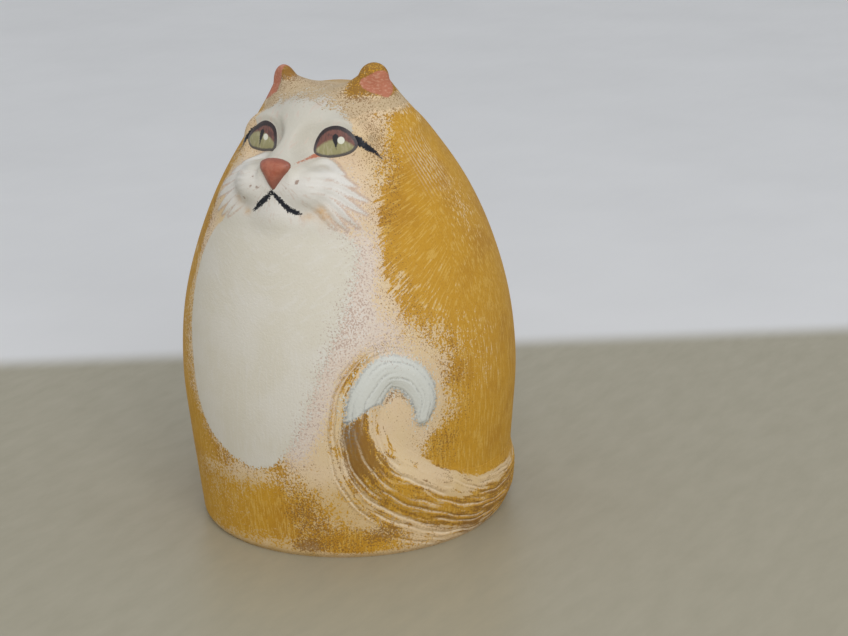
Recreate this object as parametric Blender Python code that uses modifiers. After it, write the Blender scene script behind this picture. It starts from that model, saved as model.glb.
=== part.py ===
"""Ceramic cat figurine: hand-formed clay pieces pressed together, then fired.

Metres, +Z up. The origin is the middle of the underside. The cat faces -Y, and its own left is +X.
Each piece added to the body sits in a shallow recess, GAP clear of its neighbours all round.
An angle on the body is measured in degrees from the front (-Y) towards the cat's left (+X).
"""

import math

import bmesh
import bpy
import numpy as np
from mathutils import Matrix, Vector

GAP = 0.0003  # clearance between neighbouring pieces

# Body: a turned egg shape, as (height, radius) from the foot to the crown, leaning a little forwards.
BODY_PROFILE = (
    (0.0000, 0.0255),
    (0.0008, 0.0261),
    (0.0030, 0.0264),
    (0.0080, 0.0269),
    (0.0160, 0.0277),
    (0.0260, 0.0284),
    (0.0370, 0.0275),
    (0.0470, 0.0249),
    (0.0560, 0.0212),
    (0.0630, 0.0171),
    (0.0685, 0.0130),
    (0.0725, 0.0076),
    (0.0737, 0.0000),
)
PROFILE_STEPS = 2  # stretches between two neighbouring profile points
BODY_SEGMENTS = 48
BODY_WALL = 0.0055
LEAN_START = 0.045  # height above which the head leans
LEAN = 0.00105  # forward shift LEAN_SPAN above that height
LEAN_SPAN = 0.027

# Brow: a low swelling of the forehead, as height on the body, rise, and reach across and up.
BROW_HEIGHT = 0.0702
BROW_RISE = 0.0014
BROW_ACROSS = 0.0085
BROW_UP = 0.0032

# Base: a slab that closes the body from below, with a hole that lets air out in the kiln.
BASE_RADIUS = 0.0221
BASE_THICKNESS = 0.0040
BASE_EDGE = 0.0003
VENT_RADIUS = 0.0035
VENT_BEHIND = 0.0090

# Pads: ovals pressed on the body. Place is (angle, height) and half is (across, up the body). Proud is
# the pad's height above the body there, and depth how far it is sunk. Tilt turns it on the body, pitch
# leans its upper end out, yaw its outer end, and fade lowers its upper end.
PAD_SEGMENTS = 18
PAD_RINGS = 8
EYE = dict(
    place=(28.6, 0.0669),
    half=(0.0038, 0.0024),
    proud=0.0008,
    depth=0.0014,
    tilt=10.0,
    pitch=0.30,
    yaw=0.16,
    fade=0.0,
)
MUZZLE = dict(
    place=(11.0, 0.0607),
    half=(0.0050, 0.0034),
    proud=0.0034,
    depth=0.0016,
    tilt=-24.0,
    pitch=0.0,
    yaw=0.0,
    fade=0.0,
)
CHIN = dict(
    place=(0.0, 0.0558),
    half=(0.0042, 0.0036),
    proud=0.0014,
    depth=0.0015,
    tilt=0.0,
    pitch=0.0,
    yaw=0.0,
    fade=0.0,
)
CHEEK_RUFF = dict(
    place=(33.0, 0.0585),
    half=(0.0058, 0.0033),
    proud=0.0010,
    depth=0.0013,
    tilt=-34.0,
    pitch=0.0,
    yaw=0.0,
    fade=0.0,
)
BRIDGE = dict(
    place=(0.0, 0.0652),
    half=(0.0026, 0.0046),
    proud=0.0034,
    depth=0.0015,
    tilt=0.0,
    pitch=0.0,
    yaw=0.0,
    fade=0.7,
)
NOSE = dict(
    place=(0.0, 0.0612),
    half=(0.0030, 0.0027),
    proud=0.0043,
    depth=-0.0022,
    tilt=0.0,
    pitch=0.45,
    yaw=0.0,
    fade=0.0,
)
MIDLINE_SIZE = 0.0120  # cube that trims each muzzle pad at the middle of the face
MUZZLE_FRONT = -0.0200
ALMOND = 0.30  # how much an eye narrows towards its corners
RUFF_LOCKS = 4  # locks of fur along a ruff's free edge
RUFF_SCALLOP = 0.10

# Ears: pinched cones on the crown, each with a cup that faces forwards and outwards.
EAR_BASE = (0.0081, -0.0030)
EAR_TIP = (0.0086, -0.0034)
EAR_TIP_HEIGHTS = {1: 0.0782, -1: 0.0766}  # the left ear stands a little higher than the right
EAR_FACING = 35.0
EAR_HALF_WIDTH = 0.0045
EAR_HALF_THICKNESS = 0.0027
EAR_DEPTH = 0.0019
EAR_TAPER = 0.25
EAR_CUP_CENTRE = (0.0033, 0.0022)  # forwards of the base and up from the crown there
EAR_CUP_HALF = (0.0015, 0.0028, 0.0027)

# Tail: a flattened roll, as (angle, height, half width) from its root at the back to its tip.
TAIL_COURSE = (
    (188.0, 0.0074, 0.0036),
    (165.0, 0.0066, 0.0042),
    (135.0, 0.0058, 0.0044),
    (108.0, 0.0056, 0.0044),
    (88.0, 0.0060, 0.0044),
    (75.0, 0.0067, 0.0043),
    (62.0, 0.0089, 0.0042),
    (48.5, 0.0125, 0.0041),
    (39.0, 0.0166, 0.0038),
    (33.5, 0.0216, 0.0029),
    (32.2, 0.0263, 0.0024),
    (35.5, 0.0303, 0.0026),
    (43.3, 0.0324, 0.0028),
    (51.5, 0.0306, 0.0026),
    (55.0, 0.0270, 0.0021),
    (54.3, 0.0242, 0.0012),
)
TAIL_STEPS = 2  # sections between two neighbouring course points
TAIL_SIDES = 10
TAIL_PROUD = 0.0004  # height above the body, and what each metre of half width adds to it
TAIL_PROUD_SHARE = 0.16
TAIL_DEPTH = 0.0013

CLAY = (0.80, 0.62, 0.42)
OCHRE = (0.66, 0.38, 0.07)
WHITE = (0.83, 0.80, 0.74)
CORAL = (0.68, 0.22, 0.15)
OLIVE = (0.42, 0.38, 0.16)
BISQUE_ROUGHNESS = 0.75
PAINT_ROUGHNESS = 0.55
GLOSS_ROUGHNESS = 0.25


def clear_scene():
    for obj in list(bpy.data.objects):
        bpy.data.objects.remove(obj, do_unlink=True)


def new_collection(name):
    collection = bpy.data.collections.new(name)
    bpy.context.scene.collection.children.link(collection)
    return collection


def material(name, colour, roughness):
    made = bpy.data.materials.new(name)
    made.use_nodes = True
    made.diffuse_color = (*colour, 1.0)
    shader = made.node_tree.nodes["Principled BSDF"]
    shader.inputs["Base Color"].default_value = (*colour, 1.0)
    shader.inputs["Roughness"].default_value = roughness
    shader.inputs["Metallic"].default_value = 0.0
    return made


def smooth_points(points, steps):
    """Points on a centripetal Catmull-Rom curve through the given ones, ends included."""
    given = [np.array(p, float) for p in points]
    given = [2 * given[0] - given[1], *given, 2 * given[-1] - given[-2]]
    found = []
    for p0, p1, p2, p3 in zip(given, given[1:], given[2:], given[3:]):
        k1 = np.linalg.norm(p1 - p0) ** 0.5
        k2 = k1 + np.linalg.norm(p2 - p1) ** 0.5
        k3 = k2 + np.linalg.norm(p3 - p2) ** 0.5
        for k in np.linspace(k1, k2, steps, endpoint=False):
            a1 = ((k1 - k) * p0 + k * p1) / k1
            a2 = ((k2 - k) * p1 + (k - k1) * p2) / (k2 - k1)
            a3 = ((k3 - k) * p2 + (k - k2) * p3) / (k3 - k2)
            b1 = ((k2 - k) * a1 + k * a2) / k2
            b2 = ((k3 - k) * a2 + (k - k1) * a3) / (k3 - k1)
            found.append(((k2 - k) * b1 + (k - k1) * b2) / (k2 - k1))
    found.append(given[-2])
    return np.array(found)


class Body:
    """The turned outer surface, read by distance along its profile."""

    def __init__(self):
        crown = BODY_PROFILE[-2]
        rounded = smooth_points([*BODY_PROFILE, (crown[0], -crown[1])], PROFILE_STEPS)
        points = rounded[: (len(BODY_PROFILE) - 1) * PROFILE_STEPS + 1]
        self.heights = points[:, 0]
        self.radii = points[:, 1]
        steps = np.hypot(np.diff(self.heights), np.diff(self.radii))
        self.along = np.concatenate([[0.0], np.cumsum(steps)])
        slope_height = np.gradient(self.heights, self.along)
        slope_radius = np.gradient(self.radii, self.along)
        length = np.hypot(slope_height, slope_radius)
        self.normal_radial = slope_height / length
        self.normal_up = -slope_radius / length

    def distance_at(self, height):
        return float(np.interp(height, self.heights, self.along))

    def height_over(self, x, y):
        """Height of the crown's surface above a point of the plan."""
        guess = self.heights[-1]
        for _ in range(4):
            radius = math.hypot(x, y - lean(guess))
            guess = float(np.interp(radius, self.radii[::-1], self.heights[::-1]))
        return guess

    def brow(self, angle, distance):
        """How far the forehead swells there."""
        radius = np.interp(distance, self.along, self.radii)
        across = math.radians((angle + 180.0) % 360.0 - 180.0) * radius / BROW_ACROSS
        up = (distance - self.distance_at(BROW_HEIGHT)) / BROW_UP
        return BROW_RISE * math.exp(-across * across - up * up)

    def point(self, angle, distance, lift):
        """The point at this angle and distance along the profile, lifted off the surface."""
        lift += self.brow(angle, distance)
        radial = np.interp(distance, self.along, self.normal_radial)
        up = np.interp(distance, self.along, self.normal_up)
        radius = np.interp(distance, self.along, self.radii) + lift * radial
        height = np.interp(distance, self.along, self.heights) + lift * up
        turn = math.radians(angle)
        return Vector((radius * math.sin(turn), lean(height) - radius * math.cos(turn), height))

    def place(self, angle, height, across, up, lift):
        """The point this far across and up the surface from a place on it."""
        distance = self.distance_at(height) + up
        radius = np.interp(height, self.heights, self.radii)
        return self.point(angle + math.degrees(across / radius), distance, lift)


def lean(height):
    return -LEAN * (max(height - LEAN_START, 0.0) / LEAN_SPAN) ** 2


def closed_mesh(name, bm):
    """The mesh of a bmesh with its faces turned outwards."""
    bmesh.ops.recalc_face_normals(bm, faces=bm.faces)
    if bm.calc_volume(signed=True) < 0:
        bmesh.ops.reverse_faces(bm, faces=bm.faces)
    mesh = bpy.data.meshes.new(name)
    bm.to_mesh(mesh)
    bm.free()
    mesh.shade_smooth()
    mesh.set_sharp_from_angle(angle=math.radians(40.0))
    return mesh


def add_object(name, mesh, collection):
    obj = bpy.data.objects.new(name, mesh)
    collection.objects.link(obj)
    return obj


def add_piece(name, mesh, collection, colour, roughness):
    mesh.materials.append(material(name, colour, roughness))
    return add_object(name, mesh, collection)


def add_cutter(name, mesh, collection):
    obj = add_object(name, mesh, collection)
    obj.hide_render = True
    obj.display_type = "WIRE"
    return obj


def cut(obj, cutter):
    modifier = obj.modifiers.new(cutter.name, "BOOLEAN")
    modifier.operation = "DIFFERENCE"
    modifier.object = cutter


def cylinder_mesh(name, radius, low, high, centre, segments):
    bm = bmesh.new()
    middle = Matrix.Translation((centre[0], centre[1], (low + high) / 2))
    bmesh.ops.create_cone(
        bm,
        cap_ends=True,
        segments=segments,
        radius1=radius,
        radius2=radius,
        depth=high - low,
        matrix=middle,
    )
    return closed_mesh(name, bm)


def cube_mesh(name, place):
    bm = bmesh.new()
    bmesh.ops.create_cube(bm, size=MIDLINE_SIZE, matrix=place)
    return closed_mesh(name, bm)


def body_mesh(body, collection):
    """The hollow wall: outer side down, round the foot, up the base's rebate and the cavity."""
    foot_radius = BODY_PROFILE[0][1]
    rebate = BASE_RADIUS + GAP
    ledge = BASE_THICKNESS + GAP
    outer = list(zip(body.radii, body.heights))[::-1]
    outer[-1] = (foot_radius, 0.0)
    inner_radii = body.radii - BODY_WALL * body.normal_radial
    inner_heights = body.heights - BODY_WALL * body.normal_up
    inner = [(r, z) for r, z in zip(inner_radii, inner_heights) if z > ledge and r > 0][::2]
    crown = (0.0, float(inner_heights[-1]))
    start = (inner[0][0], ledge)
    profile = [*outer, (rebate, 0.0), (rebate, ledge), start, *inner, crown]

    mesh = bpy.data.meshes.new("body_profile")
    edges = [(i, i + 1) for i in range(len(profile) - 1)]
    mesh.from_pydata([(r, 0.0, z) for r, z in profile], edges, [])
    obj = add_object("body_profile", mesh, collection)
    screw = obj.modifiers.new("Turn", "SCREW")
    screw.axis = "Z"
    screw.steps = BODY_SEGMENTS
    screw.render_steps = BODY_SEGMENTS
    screw.use_merge_vertices = True
    screw.merge_threshold = 0.00001
    bpy.context.view_layer.update()
    turned = bpy.data.meshes.new_from_object(obj.evaluated_get(bpy.context.evaluated_depsgraph_get()))
    bpy.data.objects.remove(obj)

    bm = bmesh.new()
    bm.from_mesh(turned)
    for vertex in bm.verts:
        x, y, height = vertex.co
        outer_side = abs(math.hypot(x, y) - np.interp(height, body.heights, body.radii)) < GAP
        if outer_side:
            vertex.co = body.point(math.degrees(math.atan2(x, -y)), body.distance_at(height), 0.0)
        else:
            vertex.co.y += lean(height)
    return closed_mesh("body_shell", bm)


def almond(x, y):
    return x, y * (1 - ALMOND * x * x)


def nose_outline(x, y):
    """A rounded triangle: wide above, narrow below."""
    return x * (0.66 + 0.34 * y), y


def ruff_outline(x, y):
    """An oval whose free end breaks into locks of fur."""
    free = max(x, 0.0)
    scallop = 1 + RUFF_SCALLOP * free * math.cos(2 * math.pi * RUFF_LOCKS * y / 2)
    return x * scallop, y


def oval(x, y):
    return x, y


def pad_mesh(name, body, pad, side, grow, outline=oval):
    """A pressed pad of clay: a sphere mapped to the body, sunk below it and domed above."""
    angle, base_height = pad["place"]
    across, up = pad["half"]
    tilt = math.radians(pad["tilt"])
    bm = bmesh.new()
    bmesh.ops.create_uvsphere(bm, u_segments=PAD_SEGMENTS, v_segments=PAD_RINGS, radius=1.0)
    for vertex in bm.verts:
        x, y = outline(vertex.co.x, vertex.co.y)
        low = -pad["depth"] - grow
        high = pad["proud"] * (1 - pad["fade"] * vertex.co.y) + grow
        middle = max(low, 0.0)  # a pad that stands on its neighbours starts above the body
        lift = middle + vertex.co.z * (high - middle if vertex.co.z > 0 else middle - low)
        x *= across + grow
        y *= up + grow
        a = x * math.cos(tilt) - y * math.sin(tilt)
        b = x * math.sin(tilt) + y * math.cos(tilt)
        lift += pad["pitch"] * b + pad["yaw"] * a
        vertex.co = body.place(side * angle, base_height, side * a, b, lift)
    return closed_mesh(name, bm)


def ear_mesh(name, body, side, grow):
    """A cone whose foot follows the crown and whose tip is rounded."""
    facing = math.radians(EAR_FACING)
    forward = (math.sin(facing), -math.cos(facing))
    sideways = (math.cos(facing), math.sin(facing))
    bm = bmesh.new()
    bmesh.ops.create_uvsphere(bm, u_segments=PAD_SEGMENTS, v_segments=PAD_RINGS + 4, radius=1.0)
    for vertex in bm.verts:
        thick, wide, level = vertex.co
        share = max(level, 0.0)
        taper = 1 - EAR_TAPER * share
        thick *= (EAR_HALF_THICKNESS + grow) * taper
        wide *= (EAR_HALF_WIDTH + grow) * taper
        x = EAR_BASE[0] + (EAR_TIP[0] - EAR_BASE[0]) * share + forward[0] * thick + sideways[0] * wide
        y = EAR_BASE[1] + (EAR_TIP[1] - EAR_BASE[1]) * share + forward[1] * thick + sideways[1] * wide
        crown = body.height_over(x, y)
        height = crown + min(level, 0.0) * (EAR_DEPTH + grow)
        height += (EAR_TIP_HEIGHTS[side] + grow - crown) * share
        vertex.co = (side * x, y, height)
    return closed_mesh(name, bm)


def ear_cup_mesh(name, body, side):
    facing = math.radians(EAR_FACING)
    out, up = EAR_CUP_CENTRE
    x = EAR_BASE[0] + out * math.sin(facing)
    y = EAR_BASE[1] - out * math.cos(facing)
    centre = Vector((side * x, y, body.height_over(x, y) + up))
    turn = Matrix.Rotation(side * facing - math.pi / 2, 4, "Z")
    size = Matrix.Diagonal((*EAR_CUP_HALF, 1.0))
    bm = bmesh.new()
    bmesh.ops.create_uvsphere(
        bm,
        u_segments=PAD_SEGMENTS,
        v_segments=PAD_RINGS,
        radius=1.0,
        matrix=Matrix.Translation(centre) @ turn @ size,
    )
    return closed_mesh(name, bm)


def tail_section(body, course, index, grow):
    """One ring of the roll, laid across the course and following the body under it."""
    angle, height, half_width = course[index]
    before = course[max(index - 1, 0)]
    after = course[min(index + 1, len(course) - 1)]
    radius = np.interp(height, body.heights, body.radii)
    run = math.radians(after[0] - before[0]) * radius
    rise = body.distance_at(after[1]) - body.distance_at(before[1])
    length = math.hypot(run, rise)
    ring = []
    for k in range(TAIL_SIDES):
        turn = 2 * math.pi * k / TAIL_SIDES
        wide = (half_width + grow) * math.cos(turn)
        share = math.sin(turn)
        raised = TAIL_PROUD + TAIL_PROUD_SHARE * half_width + grow
        lift = share * (raised if share > 0 else TAIL_DEPTH + grow)
        ring.append(body.place(angle, height, -wide * rise / length, wide * run / length, lift))
    return ring


def tail_mesh(name, body, grow):
    """A loft through the sections, closed by a rounded cap at each end."""
    course = smooth_points([(a / 1000, h, w) for a, h, w in TAIL_COURSE], TAIL_STEPS)
    course[:, 0] *= 1000
    rings = [tail_section(body, course, i, grow) for i in range(len(course))]
    bm = bmesh.new()
    loops = [[bm.verts.new(p) for p in ring] for ring in rings]
    for first, second in zip(loops, loops[1:]):
        for k in range(TAIL_SIDES):
            after = (k + 1) % TAIL_SIDES
            bm.faces.new((first[k], first[after], second[after], second[k]))
    for ring, inner in ((rings[0], rings[1]), (rings[-1], rings[-2])):
        loop = loops[0] if ring is rings[0] else loops[-1]
        middle = sum(ring, Vector()) / TAIL_SIDES
        outwards = (middle - sum(inner, Vector()) / TAIL_SIDES).normalized()
        reach = (ring[0] - ring[TAIL_SIDES // 2]).length * 0.25 + grow
        point = bm.verts.new(middle + outwards * reach)
        for k in range(TAIL_SIDES):
            bm.faces.new((loop[k], loop[(k + 1) % TAIL_SIDES], point))
    return closed_mesh(name, bm)


def build():
    clear_scene()
    parts = new_collection("ceramic_cat_figurine")
    cutters = new_collection("cutters")
    body = Body()
    pieces = {}
    recesses = {}

    def add(name, colour, roughness, make):
        """The piece, and a copy grown by the gap that cuts room for it in its neighbours."""
        pieces[name] = add_piece(name, make(name, 0.0), parts, colour, roughness)
        recesses[name] = add_cutter(f"{name}_recess", make(f"{name}_recess", GAP), cutters)

    for side, word in ((1, "left"), (-1, "right")):
        add(
            f"eye_{word}",
            OLIVE,
            GLOSS_ROUGHNESS,
            lambda name, grow: pad_mesh(name, body, EYE, side, grow, almond),
        )
        add(
            f"ear_{word}",
            CORAL,
            PAINT_ROUGHNESS,
            lambda name, grow: ear_mesh(name, body, side, grow),
        )
        add(
            f"muzzle_{word}",
            WHITE,
            PAINT_ROUGHNESS,
            lambda name, grow: pad_mesh(name, body, MUZZLE, side, grow),
        )
        add(
            f"cheek_ruff_{word}",
            WHITE,
            PAINT_ROUGHNESS,
            lambda name, grow: pad_mesh(name, body, CHEEK_RUFF, side, grow, ruff_outline),
        )
    add(
        "nose",
        CORAL,
        GLOSS_ROUGHNESS,
        lambda name, grow: pad_mesh(name, body, NOSE, 1, grow, nose_outline),
    )
    add(
        "nose_bridge",
        WHITE,
        PAINT_ROUGHNESS,
        lambda name, grow: pad_mesh(name, body, BRIDGE, 1, grow),
    )
    add(
        "chin",
        WHITE,
        PAINT_ROUGHNESS,
        lambda name, grow: pad_mesh(name, body, CHIN, 1, grow),
    )
    add(
        "tail",
        OCHRE,
        PAINT_ROUGHNESS,
        lambda name, grow: tail_mesh(name, body, grow),
    )

    shell = add_piece("body_shell", body_mesh(body, cutters), parts, CLAY, BISQUE_ROUGHNESS)
    for recess in recesses.values():
        cut(shell, recess)

    base_mesh = cylinder_mesh("base_disc", BASE_RADIUS, 0.0, BASE_THICKNESS, (0.0, 0.0), BODY_SEGMENTS)
    base = add_piece("base_disc", base_mesh, parts, CLAY, BISQUE_ROUGHNESS)
    vent_mesh = cylinder_mesh(
        "vent_hole", VENT_RADIUS, -BASE_THICKNESS, 2 * BASE_THICKNESS, (0.0, VENT_BEHIND), PAD_SEGMENTS
    )
    cut(base, add_cutter("vent_hole", vent_mesh, cutters))
    rounding = base.modifiers.new("Rounded edges", "BEVEL")
    rounding.width = BASE_EDGE
    rounding.segments = 2
    rounding.limit_method = "ANGLE"

    cut(pieces["nose_bridge"], recesses["nose"])
    for side, word in ((1, "left"), (-1, "right")):
        muzzle = pieces[f"muzzle_{word}"]
        beyond = Matrix.Translation((side * (GAP - MIDLINE_SIZE) / 2, MUZZLE_FRONT, MUZZLE["place"][1]))
        midline = cube_mesh(f"midline_{word}", beyond)
        cut(muzzle, add_cutter(f"midline_{word}", midline, cutters))
        for neighbour in ("nose", "nose_bridge"):
            cut(muzzle, recesses[neighbour])
        cut(pieces["chin"], recesses[f"muzzle_{word}"])
        cut(pieces[f"cheek_ruff_{word}"], recesses[f"muzzle_{word}"])
        cup = ear_cup_mesh(f"ear_cup_{word}", body, side)
        cut(pieces[f"ear_{word}"], add_cutter(f"ear_cup_{word}", cup, cutters))


build()
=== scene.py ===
"""Looks for the ceramic cat figurine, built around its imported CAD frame.

Lengths are millimetres until a mesh is made, +Z is up, and the cat faces -Y. An angle on the body is in
degrees from the front towards the cat's own left (+X). "Along" is distance up the body's profile, "run" is
distance along the tail from its root, and "across" is distance from the tail's middle line.
"""

import math

import bpy
import numpy as np
from mathutils import Matrix, Vector

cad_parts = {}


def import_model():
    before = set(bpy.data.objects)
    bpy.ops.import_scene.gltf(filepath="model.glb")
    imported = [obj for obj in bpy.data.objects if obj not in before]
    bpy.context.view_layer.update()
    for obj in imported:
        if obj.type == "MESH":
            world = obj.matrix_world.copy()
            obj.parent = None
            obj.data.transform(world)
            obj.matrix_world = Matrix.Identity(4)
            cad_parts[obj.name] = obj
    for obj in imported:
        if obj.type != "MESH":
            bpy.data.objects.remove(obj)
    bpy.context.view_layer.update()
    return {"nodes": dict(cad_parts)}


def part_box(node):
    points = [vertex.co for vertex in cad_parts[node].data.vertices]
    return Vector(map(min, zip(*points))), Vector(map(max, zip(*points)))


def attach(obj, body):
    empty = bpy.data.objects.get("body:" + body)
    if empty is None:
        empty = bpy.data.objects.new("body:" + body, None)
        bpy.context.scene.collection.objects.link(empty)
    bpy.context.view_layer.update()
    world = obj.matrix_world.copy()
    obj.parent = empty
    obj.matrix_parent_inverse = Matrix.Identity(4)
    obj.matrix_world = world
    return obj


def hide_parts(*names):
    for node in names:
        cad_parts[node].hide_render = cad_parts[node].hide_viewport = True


MM = 0.001

SIDES = {1: "left", -1: "right"}
NOWHERE = -5.0  # distance inside a mark, for points that the mark can't reach

# Body: the turned profile as (height, radius), and its forward lean towards the crown.
BODY_PROFILE = (
    (0.0, 25.5),
    (0.8, 26.1),
    (3.0, 26.4),
    (8.0, 26.9),
    (16.0, 27.7),
    (26.0, 28.4),
    (37.0, 27.5),
    (47.0, 24.9),
    (56.0, 21.2),
    (63.0, 17.1),
    (68.5, 13.0),
    (72.5, 7.6),
    (73.7, 0.0),
)
PROFILE_STEPS = 20
LEAN_START = 45.0
LEAN = 1.05
LEAN_SPAN = 27.0
FAN_HEIGHT = 46.0  # surface rays are level below this height and fan out from it above
INSET = 0.04  # how far the skin keeps inside the turned profile
UNEVEN = (0.05, 0.018)  # what is taken off all over, and the size of the waves of a hand-made form
CHART_RADIUS = 7.0  # the flat chart of the body never gets narrower than this radius

# The head's surface is found by stepping back along each ray from outside it.
RAY_START = 12.0
RAY_STEPS = 80
RAY_STRIDE = 0.6  # share of the distance left that one step takes

# Grid of the skin: (start, step) stretches of angle and of distance along the profile.
ANGLE_STOPS = ((-180.0, 2.2), (-75.0, 0.95), (95.0, 2.2))
ALONG_STOPS = ((0.0, 0.3), (2.4, 0.52), (46.0, 0.27))

# Underside, inwards from the foot: (radius, height). The base disc sits in its rebate.
UNDERSIDE = ((22.4, 0.0), (22.4, 4.3), (5.0, 4.3), (5.0, 9.0))

# Face, in millimetres from the middle of the base. x is to either side.
BROW = (70.2, 1.4, 8.5, 3.2)  # height, rise, reach across, reach up
BRIDGE_TOP = (0.0, -9.1, 67.7)
BRIDGE_FOOT = (0.0, -18.5, 62.4)
BRIDGE_RADII = (4.6, 3.4)
BRIDGE_FILLET = 3.2
MUZZLE_CENTRE = (3.8, -16.9, 60.1)
MUZZLE_SIZE = (4.7, 4.6, 3.9)
MUZZLE_FILLET = 1.3
CHIN_CENTRE = (0.0, -17.6, 56.2)
CHIN_SIZE = (4.6, 4.1, 3.6)
CHIN_FILLET = 2.4

# Flat places of the face: turn from the front and lean back in degrees, half sizes, and soft border.
EYE_PLANE = (15.2, 12.0, (3.9, 2.8), 0.8)
NOSE_PLANE = (0.0, 11.3, (2.6, 2.2), 0.5)
NOSE_CENTRE = (0.0, -21.0, 63.1)

# Ears: cones flattened along their facing direction, each with a shallow cup.
EAR_FOOT = (7.4, -3.0, 69.6)
EAR_FOOT_RADIUS = 7.2
EAR_TIP_RADIUS = 2.45
EAR_FLATTEN = 1.6
EAR_FACING = 35.0
EAR_TIP_PLACE = (8.7, -3.4)
EAR_CUP = (3.0, 4.0)  # forwards of the foot and up from it
EAR_CUP_SIZE = (1.5, 2.6, 3.0)
EAR_CUP_FILLET = 0.7
EAR_FILLET = 4.5

# Tail: (angle, height, half width, spacing of its hairs) from its root at the back to its tip.
TAIL_COURSE = (
    (188.0, 7.4, 3.6, 0.8),
    (165.0, 6.6, 4.2, 0.9),
    (135.0, 5.8, 4.4, 0.9),
    (108.0, 5.6, 4.4, 0.8),
    (88.0, 6.0, 4.4, 0.85),
    (75.0, 6.7, 4.3, 1.0),
    (62.0, 8.9, 4.2, 1.2),
    (48.5, 12.5, 4.1, 1.3),
    (39.5, 16.6, 3.8, 1.2),
    (34.8, 21.6, 2.9, 1.0),
    (34.2, 26.0, 2.5, 0.9),
    (37.0, 30.0, 2.6, 0.85),
    (43.6, 32.7, 2.6, 0.8),
    (51.5, 30.8, 2.5, 0.8),
    (55.0, 27.0, 2.1, 0.75),
    (54.3, 24.2, 1.2, 0.6),
)
TAIL_STEPS = 10
TAIL_RADIUS = 27.3  # body radius at which the tail's course is laid out flat
TAIL_RISE = (0.35, 0.16)  # ridge height, and what each millimetre of half width adds
TAIL_INNER = 1.35  # reach of the tail's sheet on the inner side, in half widths
TAIL_OUTER = 2.1  # and on the outer side, where the carved hairs run
TAIL_LOWEST = 1.7  # lowest distance along the body that the sheet reaches
TAIL_CELLS = (520, 84)
TAIL_ENDS = (3.2, 1.7)  # how far the sheet goes on before the root and beyond the tip
TAIL_ALONG = 48.0  # the tail lies below this distance along the body
TAIL_TOP = 40.0  # and below this height
COVER_RISE = 0.03  # how far a piece that lies over the skin stands over it

# Carved hairs of the tail: half width, depth, and rise of the ridges between them.
HAIR_HALF_WIDTH = 0.17
HAIR_DEPTH = 0.16
HAIR_RIDGE = 0.06
HAIR_TIP_DEPTH = 0.35  # share of the depth that is left on the smooth tip

# Regions of the skin that are pieces of their own: (angle, height), half sizes and tilt.
MUZZLE_REGION = ((11.0, 60.7), (5.0, 3.4), -24.0)
CHIN_REGION = ((0.0, 55.8), (4.2, 3.6), 0.0)
BRIDGE_REGION = ((0.0, 65.2), (2.6, 4.6), 0.0)
RUFF_REGION = ((33.0, 58.5), (5.8, 3.3), -34.0)
EAR_REGION = ((66.0, 70.9), (7.0, 5.4), 0.0)
REGION_GAP = 0.5
REGION_BORDER = 1.4  # width over which a face piece thickens and its pocket deepens
PIECE_DEPTH = 0.9
POCKET_DEPTH = 1.2
TAIL_POCKET = 0.9
FLAT_POCKET = 0.6  # under the eyes and the nose

# How deep each covering piece reaches into its pocket: at its border, and at its back or floor.
TAIL_BORDER = 0.3
TAIL_FLOOR = 0.5
BUTTON_BORDER = 0.35
BUTTON_BACK = 0.45

# Paint. Outlines are (angle, height) on the body.
WHITE_OUTLINE = (
    (0, 73.1), (14, 73.1), (26, 72.6), (34, 71.3), (39.5, 69.9), (40, 68.6), (30, 66.8), (18, 65.2),
    (24, 64.7), (29, 63.6), (33, 61.8), (34, 59.8), (32, 57.8), (28.5, 56.2), (28, 54.9), (32, 53.6),
    (36, 51.6), (35, 48.5), (32, 45.0), (29, 41.0), (25, 37.0), (21, 32.5), (18, 28.0), (14, 23.5),
    (9, 19.6), (4, 16.6), (-3, 15.2), (-12, 15.8), (-20, 17.6), (-27, 20.2), (-32, 24.5), (-35.5, 31.0),
    (-39.5, 39.0), (-41, 47.0), (-36, 52.2), (-31, 54.0), (-29, 56.2), (-33, 58.0), (-34, 60.0),
    (-32, 62.0), (-27, 63.9), (-23, 64.7), (-18, 65.2), (-28, 66.8), (-37, 68.6), (-38, 70.4), (-34, 71.8),
    (-24, 72.9), (-12, 73.1),
)
CREAM_OUTLINE = (
    (4, 15.5), (8, 13.0), (10, 9.0), (14, 5.0), (24, 3.2), (40, 2.0), (60, 1.0), (90, 1.0),
    (115, 2.2), (132, 4.5), (128, 6.9), (112, 7.6), (98, 7.9), (86, 9.2), (75, 11.3), (63, 15.4), (66, 19.0),
    (71, 22.5), (72, 26.0), (68, 30.5), (66, 35.0), (60, 39.0), (54, 42.0), (50, 46.0), (47, 50.0),
    (47.5, 53.5), (50.5, 57.0), (54.5, 60.0), (59, 64.0), (65, 67.0), (71, 69.5), (76, 71.6),
    (70, 73.0), (0, 73.6), (-70, 73.0), (-66, 71.6), (-61, 69.5), (-56, 67.0), (-52.5, 64.0), (-50.5, 60.0),
    (-48, 56.0), (-47, 52.0), (-44.5, 47.0), (-42, 40.0), (-39, 32.0), (-36, 24.5), (-31, 19.5),
    (-24, 16.6), (-12, 14.8),
)
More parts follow.
